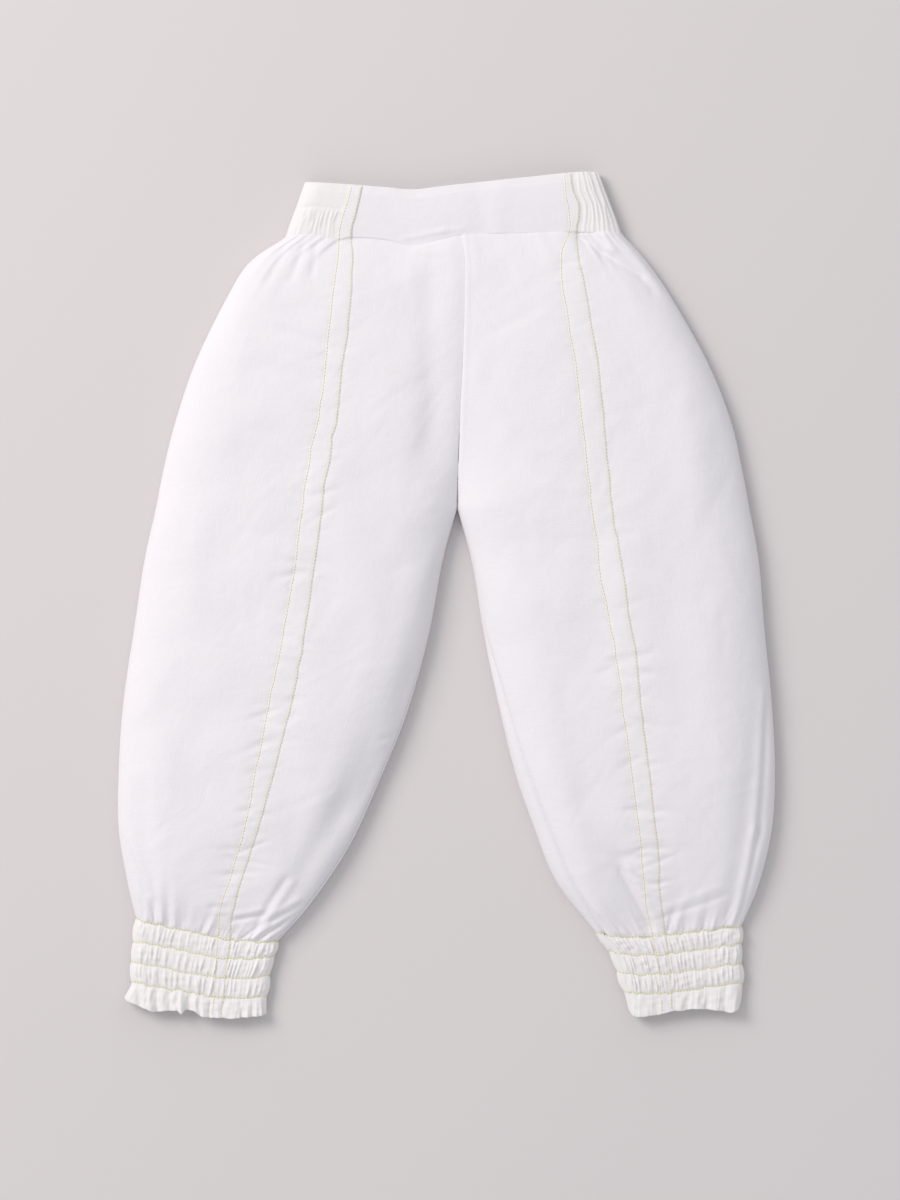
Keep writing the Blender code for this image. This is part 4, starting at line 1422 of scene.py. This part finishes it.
def cuff_back(side):
    """A cuff's back: level on the table, with pleats pressed inwards."""
    tube = tubes[side][2]
    lengths = back_columns(tube, CUFF_BACK_EDGE, CUFF_BACK_FLAT)
    points, normals = tube.read_round(lengths)
    share = (lengths - lengths[:, :1]) / (lengths[:, -1:] - lengths[:, :1])
    # the frill's placed waves belong to the front, so x is taken far away from them
    relief = cuff_relief(side, 1 - share, points[..., 0] + 500.0)
    resting = smooth_step((-normals[..., 2] - 0.2) / 0.8)
    inward = np.clip(1.5 - relief, 0.0, 2.2) * 0.7 * resting
    points = strayed(scalloped(points - normals * inward[..., None], tube), side)
    return points, normals, uv_grid(points, lengths, lengths[:, lengths.shape[1] // 2][:, None])


for side in SIDES:
    cuffs[side] = cuff_front(side)
    panel = cuffs[side]
    front = cloth_wall(
        f"cuff_front_{side}_cloth", panel["points"],
        panel["points"] - panel["normals"] * CLOTH_WALL, panel["uv"], shirred_cotton)
    points, normals, uv = cuff_back(side)
    back = cloth_wall(
        f"cuff_back_{side}_cloth", points, points - normals * CLOTH_WALL, uv, shirred_cotton)
    for piece, node_name in ((front, f"cuff_front_{side}"), (back, f"cuff_back_{side}")):
        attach(piece, "root")
        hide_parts(node_name)
    panel["piece"], panel["back_piece"], panel["back_points"] = front, back, points
    panel["back_normals"] = normals
    print(front.name, len(front.data.polygons), "and", back.name, len(back.data.polygons), "faces")

# %% [markdown]
# ## The waistband
# The front of the band is flat from strip to strip. The rest holds elastic: on the wearer's
# right its pleats show only below a channel seam, and on the left over the full height.
# The band is folded along its top, so its rim there is a full half round.

# %% Pleats of the elastic sides
# The least and the largest space between two pleats
PLEAT_SPACES = {"right": (1.5, 3.2), "left": (2.2, 3.6)}
# The channel seam's place down the right side, and its depth and half width
CHANNEL = 0.47
CHANNEL_DEPTH, CHANNEL_HALF = 0.45, 0.035


def band_relief(side, lengths, first, down):
    """Pleats of the elastic side: bells across, which lean, and end at the channel seam."""
    rng = chance(side, 81)
    total = np.zeros_like(lengths)
    for place in uneven_places(rng, 1.0, first.max() - 1.5, *PLEAT_SPACES[side]):
        half, height, lean = rng.uniform(0.5, 1.1), rng.uniform(0.3, 1.0), rng.normal(0.0, 1.4)
        wave = rng.uniform(0.15, 0.5) * np.sin(rng.uniform(4, 13) * down + rng.uniform(0, 6.28))
        centre = place * first / first.max() + lean * (down - 0.6) + wave
        if side == "right":
            peak, reach = rng.uniform(0.55, 0.95), rng.uniform(0.12, 0.4)
            standing = 0.25 + 0.75 * np.exp(-((down - peak) / reach) ** 2)
            standing = smooth_step((down - 0.46) / 0.1) * standing
        else:
            standing = 0.55 + 0.45 * np.sin(math.pi * np.clip(down, 0.1, 0.95))
        total += height * standing * np.exp(-((lengths - centre) / half) ** 2)
    if side == "right":
        total -= CHANNEL_DEPTH * np.exp(-((down - CHANNEL) / CHANNEL_HALF) ** 2)
    hold = smooth_step(lengths / 3.0) * smooth_step((first - lengths) / 2.0)
    return (total - 0.2) * hold


print("spaces between the band's pleats, mm:", PLEAT_SPACES)

# %% Waistband
# It is two layers thick, and swells by this much below its top fold
BAND_WALL = 1.6
BAND_LENGTH = 33.0
FOLD_SWELL = 0.35
BAND_INSIDE, BAND_OUTSIDE = 40, 64
BAND_BACK_EDGE, BAND_BACK_FLAT = 10, 26
BAND_CREASES = table(
    FOLD_COLUMNS,
    (18, 246, 22, 218, 6.0, -0.5),
    (34, 247, 30, 219, 7.0, 0.4),
    (-27, 242.0, -17, 239.0, 1.2, -0.5),
    (-34, 230, -20, 214, 6.0, -0.4),
    (-24, 213, -3, 217, 1.6, 0.45),
    (-3, 217, 9, 218.5, 1.6, 0.35),
    (52, 226, 64, 219, 4.0, -0.3))
fold_swell = FOLD_SWELL * smooth_step(BAND_DOWN / 0.3)


def front_half(tube, middle):
    """Half of the flat front: from the strip's middle to the centre, with its creases."""
    start, centre = middle + SEAM_GAP / 2, tube.top_length(tube.width)
    share = np.linspace(0, 1, BAND_INSIDE + 1)[None]
    points, normals = tube.top.read(start + (centre - start) * share)
    raised = fold_swell - 0.3 * smooth_step((BAND_DOWN - 0.8) / 0.2)
    x, y = points[..., 0], points[..., 1]
    raised = raised + soft_waves(x, y, 38.0, 0.10, np.random.default_rng(91))
    raised = raised + crease_height(x, y, BAND_CREASES)
    return points + normals * raised[..., None], normals


def elastic_half(side, tube, middle, strip_edge):
    """Half of the elastic part: from the strip over the side to the middle of the back."""
    side_lengths = (middle - SEAM_GAP / 2) * np.linspace(1, 0, BAND_OUTSIDE + 1)[None, :-1]
    under = back_columns(tube, BAND_BACK_EDGE, BAND_BACK_FLAT)
    under = under[:, under[0] > 0]
    points, normals = tube.read_round(np.concatenate((-side_lengths, under), axis=1))
    relief = np.zeros(points.shape[:2])
    pleated = band_relief(side, side_lengths, strip_edge, BAND_DOWN)
    pleated += fold_swell * smooth_step(side_lengths / 6.0)
    relief[:, :BAND_OUTSIDE] = pleated
    return points + normals * relief[..., None], normals


def mean_widths(points):
    """The mean distance of each column from the first, along the rows."""
    steps = np.linalg.norm(np.diff(points, axis=1), axis=-1).mean(0)
    return np.concatenate(([0.0], np.cumsum(steps)))[None]


def joined(right, left):
    """One grid across both halves, which share their middle points."""
    return [np.concatenate((r[:, :-1], l[:, ::-1]), axis=1) for r, l in zip(right, left)]


halves = {"waistband_front": [], "waistband_elastic": []}
for side in SIDES:
    tube = tubes[side][0]
    across = strip_columns(tube, STRIP[side])
    middle = across[:, across.shape[1] // 2][:, None]
    halves["waistband_front"].append(front_half(tube, middle))
    halves["waistband_elastic"].append(elastic_half(side, tube, middle, across[:, :1]))
for name, slot, cloth in (
        ("waistband_front", "white_cotton", white_cotton),
        ("waistband_elastic", "shirred_cotton", shirred_cotton)):
    points, normals = joined(*halves[name])
    uv = np.stack(np.broadcast_arrays(mean_widths(points), -BAND_LENGTH * BAND_DOWN), axis=-1)
    inner = points - normals * BAND_WALL
    piece = cloth_wall(name + "_cloth", points, inner, uv, cloth, bulge=0.8)
    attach(piece, "root")
    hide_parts(name)
    print(piece.name, len(piece.data.polygons), "faces")

# %% [markdown]
# ## The strips
# A strip of the same cotton is sewn on down each front, from the band's top fold to the
# hem. It is laid on the panels' own points, moved out by a hair, so it follows each crease.

# %% Strips
STRIP_LIFT = 0.04
# How much higher it lies on the waistband than that swells
LIFT_ON_BAND = 0.25
STRIP_WALL = 0.18
# Column by column from an edge inwards: how full it is under its turned edge, and the
# share of its wall there. The last value holds for all columns further in.
FULLNESS = np.array([0.0, 0.04, 0.0, 0.07, 0.10])
TAPER = np.array([0.3, 0.7, 0.9, 1.0])


def from_edges(values, columns):
    """The values counted from both edges of so many columns, and the last one between."""
    edge = np.minimum(np.arange(columns), np.arange(columns)[::-1])
    return values[np.minimum(edge, len(values) - 1)][None]


def strip_grid(side):
    """The strip's lower points, normals and map: the panels' strip columns in one grid.

    It is smoothed along its length, because a sewn strip is stiffer than the panel, and
    lies above the panel by its lift, where smoothing raises it, and by its fullness.
    """
    points, normals = tubes[side][0].top.read(strip_columns(tubes[side][0], STRIP[side]))
    points = points + normals * (fold_swell + LIFT_ON_BAND)[..., None]
    grids = [(points, normals)]
    for panel in (fronts[side], cuffs[side]):
        first, last = panel["strip"]
        grids.append((panel["points"][1:, first:last + 1], panel["normals"][1:, first:last + 1]))
    points, normals = (np.concatenate([grid[k] for grid in grids]) for k in (0, 1))
    smoothed = points.copy()
    smoothed[1:-1] = 0.25 * points[:-2] + 0.5 * points[1:-1] + 0.25 * points[2:]
    lift = np.maximum(np.sum((smoothed - points) * normals, axis=-1), 0.0)
    full = from_edges(FULLNESS, points.shape[1])
    points = points + normals * (STRIP_LIFT + lift + full)[..., None]
    length = run_lengths(points[:, 0])[:, None]
    uv = np.stack(np.broadcast_arrays(mean_widths(points), -length), axis=-1)
    return points, normals, uv


strips = {}
for side in SIDES:
    points, normals, uv = strip_grid(side)
    top = points + normals * (STRIP_WALL * from_edges(TAPER, points.shape[1]))[..., None]
    piece = cloth_wall(f"strip_{side}_cloth", top, points, uv, strip_cotton, bulge=0.9)
    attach(piece, "root")
    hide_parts(f"strip_{side}")
    strips[side] = {"piece": piece, "top": top, "normals": normals}
    print(piece.name, len(piece.data.polygons), "faces")

# %% [markdown]
# ## The stitches
# Each stitch is a short length of thread that comes up out of the cloth, runs along it and
# goes down again. Thousands of them could be instances of one object, but each has to lie
# at its own angle on the cloth, so each is a small swept ellipse, and all of one kind of
# work on a leg are one mesh, worked out together as arrays.

# %% Where stitches lie on a line
def even_places(path, normals, pitch):
    """Places along a path at an even pitch: points, normals and directions."""
    lengths = run_lengths(path)
    at = np.arange(pitch / 2, lengths[-1], pitch)
    here, ahead, behind = (
        np.stack([np.interp(at + d, lengths, path[:, k]) for k in range(3)], axis=1)
        for d in (0.0, 0.3 * pitch, -0.3 * pitch))
    up = np.stack([np.interp(at, lengths, normals[:, k]) for k in range(3)], axis=1)
    run = ahead - behind
    up /= np.linalg.norm(up, axis=1, keepdims=True)
    run /= np.linalg.norm(run, axis=1, keepdims=True)
    return here, up, run


# %% The points and faces of one stitch
# Its rings, in half lengths from its middle, and the number of points on each
STITCH_RINGS = np.array([-0.98, -0.62, 0.0, 0.62, 0.98])
STITCH_SIDES = 6
RING_COUNT = len(STITCH_RINGS)
POINTS_EACH = RING_COUNT * STITCH_SIDES + 2
# How narrow the rings get at the ends, how high the middle stands and how far the ends are
# sunk below it, and how deep the tips lie, all in radii
NARROWING = 0.96
STANDING, SINKING = 0.75, 1.15
TIP_DEPTH = 0.4


def stitch_points(here, up, run, half, radius):
    """Points of all stitches at these places, with these directions and half lengths.

    Ring t is a circle of radius r sqrt(1 - 0.96 t^2), at t half lengths along the stitch
    and r (0.75 - 1.15 t^2) above the cloth. A tip closes each end.
    """
    t = STITCH_RINGS[None, :, None, None]
    turn = (np.arange(STITCH_SIDES) * 2 * math.pi / STITCH_SIDES)[None, None, :, None]
    fall = np.sqrt(1 - NARROWING * t ** 2)
    rise = radius * (STANDING - SINKING * t ** 2)
    here, up, run, sideways = (v[:, None, None] for v in (here, up, run, np.cross(up, run)))
    rings = here + run * half * t + up * (rise + radius * fall * np.sin(turn))
    rings = rings + sideways * radius * fall * np.cos(turn)
    ends = np.array([-1.0, 1.0])[None, :, None, None]
    tips = here + run * (half * ends) + up * radius * -TIP_DEPTH
    count = len(rings)
    points = np.concatenate((rings.reshape(count, -1, 3), tips.reshape(count, -1, 3)), axis=1)
    return points.reshape(-1, 3)


def stitch_faces(count):
    """Four-sided faces between the rings of each stitch, and three-sided ones to its tips."""
    i, j = np.meshgrid(np.arange(RING_COUNT - 1), np.arange(STITCH_SIDES), indexing="ij")
    this, after = i * STITCH_SIDES, (i + 1) * STITCH_SIDES
    k = (j + 1) % STITCH_SIDES
    quads = np.stack((this + j, this + k, after + k, after + j), axis=-1).reshape(-1, 4)
    j, k = j[0], k[0]
    far = (RING_COUNT - 1) * STITCH_SIDES
    tip = np.full(STITCH_SIDES, RING_COUNT * STITCH_SIDES)
    near_caps = np.stack((k, j, tip), axis=-1)
    far_caps = np.stack((far + j, far + k, tip + 1), axis=-1)
    base = (np.arange(count) * POINTS_EACH)[:, None, None]
    quads = (quads[None] + base).reshape(-1, 4)
    caps = (np.concatenate((near_caps, far_caps))[None] + base).reshape(-1, 3)
    return quads.tolist() + caps.tolist()


print("points of a stitch:", POINTS_EACH)


# %% Stitch maker
def stitches(name, lines, pitch, length, radius, sway, seed):
    """A mesh of stitches along lines of (points, normals).

    sway turns each stitch by a random angle on the cloth, and its length varies a little.
    Its map runs from its middle along it, in metres, and once round it.
    """
    rng = np.random.default_rng(seed)
    got = [even_places(path, normals, pitch) for path, normals in lines]
    here, up, run = (np.concatenate([g[k] for g in got]) for k in range(3))
    count = len(here)
    angle = rng.normal(0, sway, count)[:, None]
    run = run * np.cos(angle) + np.cross(up, run) * np.sin(angle)
    half = (length * rng.uniform(0.88, 1.08, count) / 2)[:, None, None, None]
    points = stitch_points(here, up, run, half, radius)
    along = np.concatenate((np.repeat(STITCH_RINGS, STITCH_SIDES), (-1.0, 1.0))) * length / 2 * MM
    turn = np.concatenate((np.tile(np.arange(STITCH_SIDES) / STITCH_SIDES, RING_COUNT), (0.0, 0.0)))
    uv = np.tile(np.stack((along, turn), axis=1), (count, 1))
    piece = put_in_mesh(name, points, stitch_faces(count), uv, lemon_thread)
    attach(piece, "root")
    print(name, count, "stitches,", len(piece.data.polygons), "faces")
    return piece


# %% Lines of stitching
# Pitch, length, radius and sway of the stitches on the strips and in the shirred rows
STRIP_STITCH = 2.1, 1.85, 0.28, 0.14
SHIRRING_STITCH = 1.95, 1.75, 0.36, 0.45
# How far the elastic thread of a row stands out of the smoothed pleats
ROW_LIFT = 0.12


def shirring_lines(side):
    """The four rows round a cuff: over its front, across the strip, and over its back.

    The height over the front is the mean of five columns, so a thread bridges the pleats.
    """
    panel, strip = cuffs[side], strips[side]
    first, last = panel["strip"]
    strip_start = len(strip["top"]) - len(panel["points"])
    lines = []
    for row in range(SHIRRED_ROWS):
        r = row * CUFF_BAND_ROWS
        path = panel["points"][r].copy()
        path[first:last + 1] = strip["top"][strip_start + r]
        padded = np.pad(path[:, 2], 2, mode="edge")
        path[:, 2] = np.convolve(padded, np.ones(5) / 5, "valid") + ROW_LIFT
        lines.append((path, panel["normals"][r]))
        lines.append((panel["back_points"][r], panel["back_normals"][r]))
    return lines


for side in SIDES:
    strip = strips[side]
    columns = (STITCH_COLUMN, strip["top"].shape[1] - 1 - STITCH_COLUMN)
    twin = [(strip["top"][1:-1, c], strip["normals"][1:-1, c]) for c in columns]
    stitches(f"strip_stitches_{side}", twin, *STRIP_STITCH, 5)
    stitches(f"cuff_stitches_{side}", shirring_lines(side), *SHIRRING_STITCH, 6)

# %% [markdown]
# ## Each side's front and cuff
# A sheet of cloth keeps its area, however it is laid, and a gathered piece was cut wider
# than it now lies. The loop below only takes each side's front panel and cuff, and works
# out no flat sizes.

for side in SIDES:
    panel, cuff = fronts[side], cuffs[side]

# %% [markdown]
# ## Floor, light and camera
# The garment lies on a pale sheet of paper under a wide window-like light from the upper
# left, with much light bounced back from the room, so its shades are faint. The camera
# looks straight down.

# %% Floor
# It lies a hair below the cloth, and its edges are far out of every view
FLOOR_DROP = 0.2
FLOOR_HALF = 12000.0
mesh = bpy.data.meshes.new("floor")
corners = FLOOR_HALF * np.array([(-1, -1, 0), (1, -1, 0), (1, 1, 0), (-1, 1, 0)])
mesh.from_pydata(((corners - (0, 0, FLOOR_DROP)) * MM).tolist(), [], [(0, 1, 2, 3)])
floor = bpy.data.objects.new("floor", mesh)
bpy.context.scene.collection.objects.link(floor)
paper, tree, shader = new_material("pale_paper")
place = node(tree, "TexCoord").outputs["Object"]
grain = node(tree, "TexNoise", {"Vector": place, "Scale": 900.0, "Detail": 3.0}).outputs["Fac"]
shader.inputs["Base Color"].default_value = (0.697, 0.667, 0.672, 1.0)
shader.inputs["Roughness"].default_value = 0.9
shader.inputs["Specular IOR Level"].default_value = 0.2
tree.links.new(bump(tree, grain, 0.1, 0.0002), shader.inputs["Normal"])
mesh.materials.append(paper)
print("floor, m across:", 2 * FLOOR_HALF * MM)

# %% Light
# The window's place and size in metres and its power in watts, and the room's strength
WINDOW_PLACE = (-1.9, 1.4, 2.1)
WINDOW_SIZE = 1.5
WINDOW_POWER = 57.0
WINDOW_COLOUR = (1.0, 0.925, 0.89)
ROOM_COLOUR = (0.965, 0.98, 1.0, 1.0)
ROOM_STRENGTH = 0.64
scene = bpy.context.scene
scene.view_settings.view_transform = "Standard"
world = bpy.data.worlds.new("room")
scene.world = world
world.use_nodes = True
world.node_tree.nodes["Background"].inputs["Color"].default_value = ROOM_COLOUR
world.node_tree.nodes["Background"].inputs["Strength"].default_value = ROOM_STRENGTH
window = bpy.data.lights.new("window", "AREA")
window.size = WINDOW_SIZE
window.energy = WINDOW_POWER
window.color = WINDOW_COLOUR
lamp = bpy.data.objects.new("window", window)
lamp.location = WINDOW_PLACE
# a light shines down its own -Z, which is turned here towards the middle of the garment
x, y, z = WINDOW_PLACE
lamp.rotation_euler = (math.atan2(math.hypot(x, y), z), 0.0, math.atan2(-y, -x) - math.pi / 2)
scene.collection.objects.link(lamp)
print("window:", WINDOW_POWER, "W, room:", ROOM_STRENGTH)

# %% Camera
# Its height, the height of the picture on the floor and its centre, in metres
CAMERA_HEIGHT = 2.2
FRAME_HEIGHT = 0.72
FRAME_CENTRE = (0.0021, -0.0030)
lens = bpy.data.cameras.new("camera")
lens.sensor_width = 36.0
lens.lens = lens.sensor_width * CAMERA_HEIGHT / FRAME_HEIGHT
camera = bpy.data.objects.new("camera", lens)
camera.location = (*FRAME_CENTRE, CAMERA_HEIGHT)
scene.collection.objects.link(camera)
scene.camera = camera
print("lens", lens.lens)
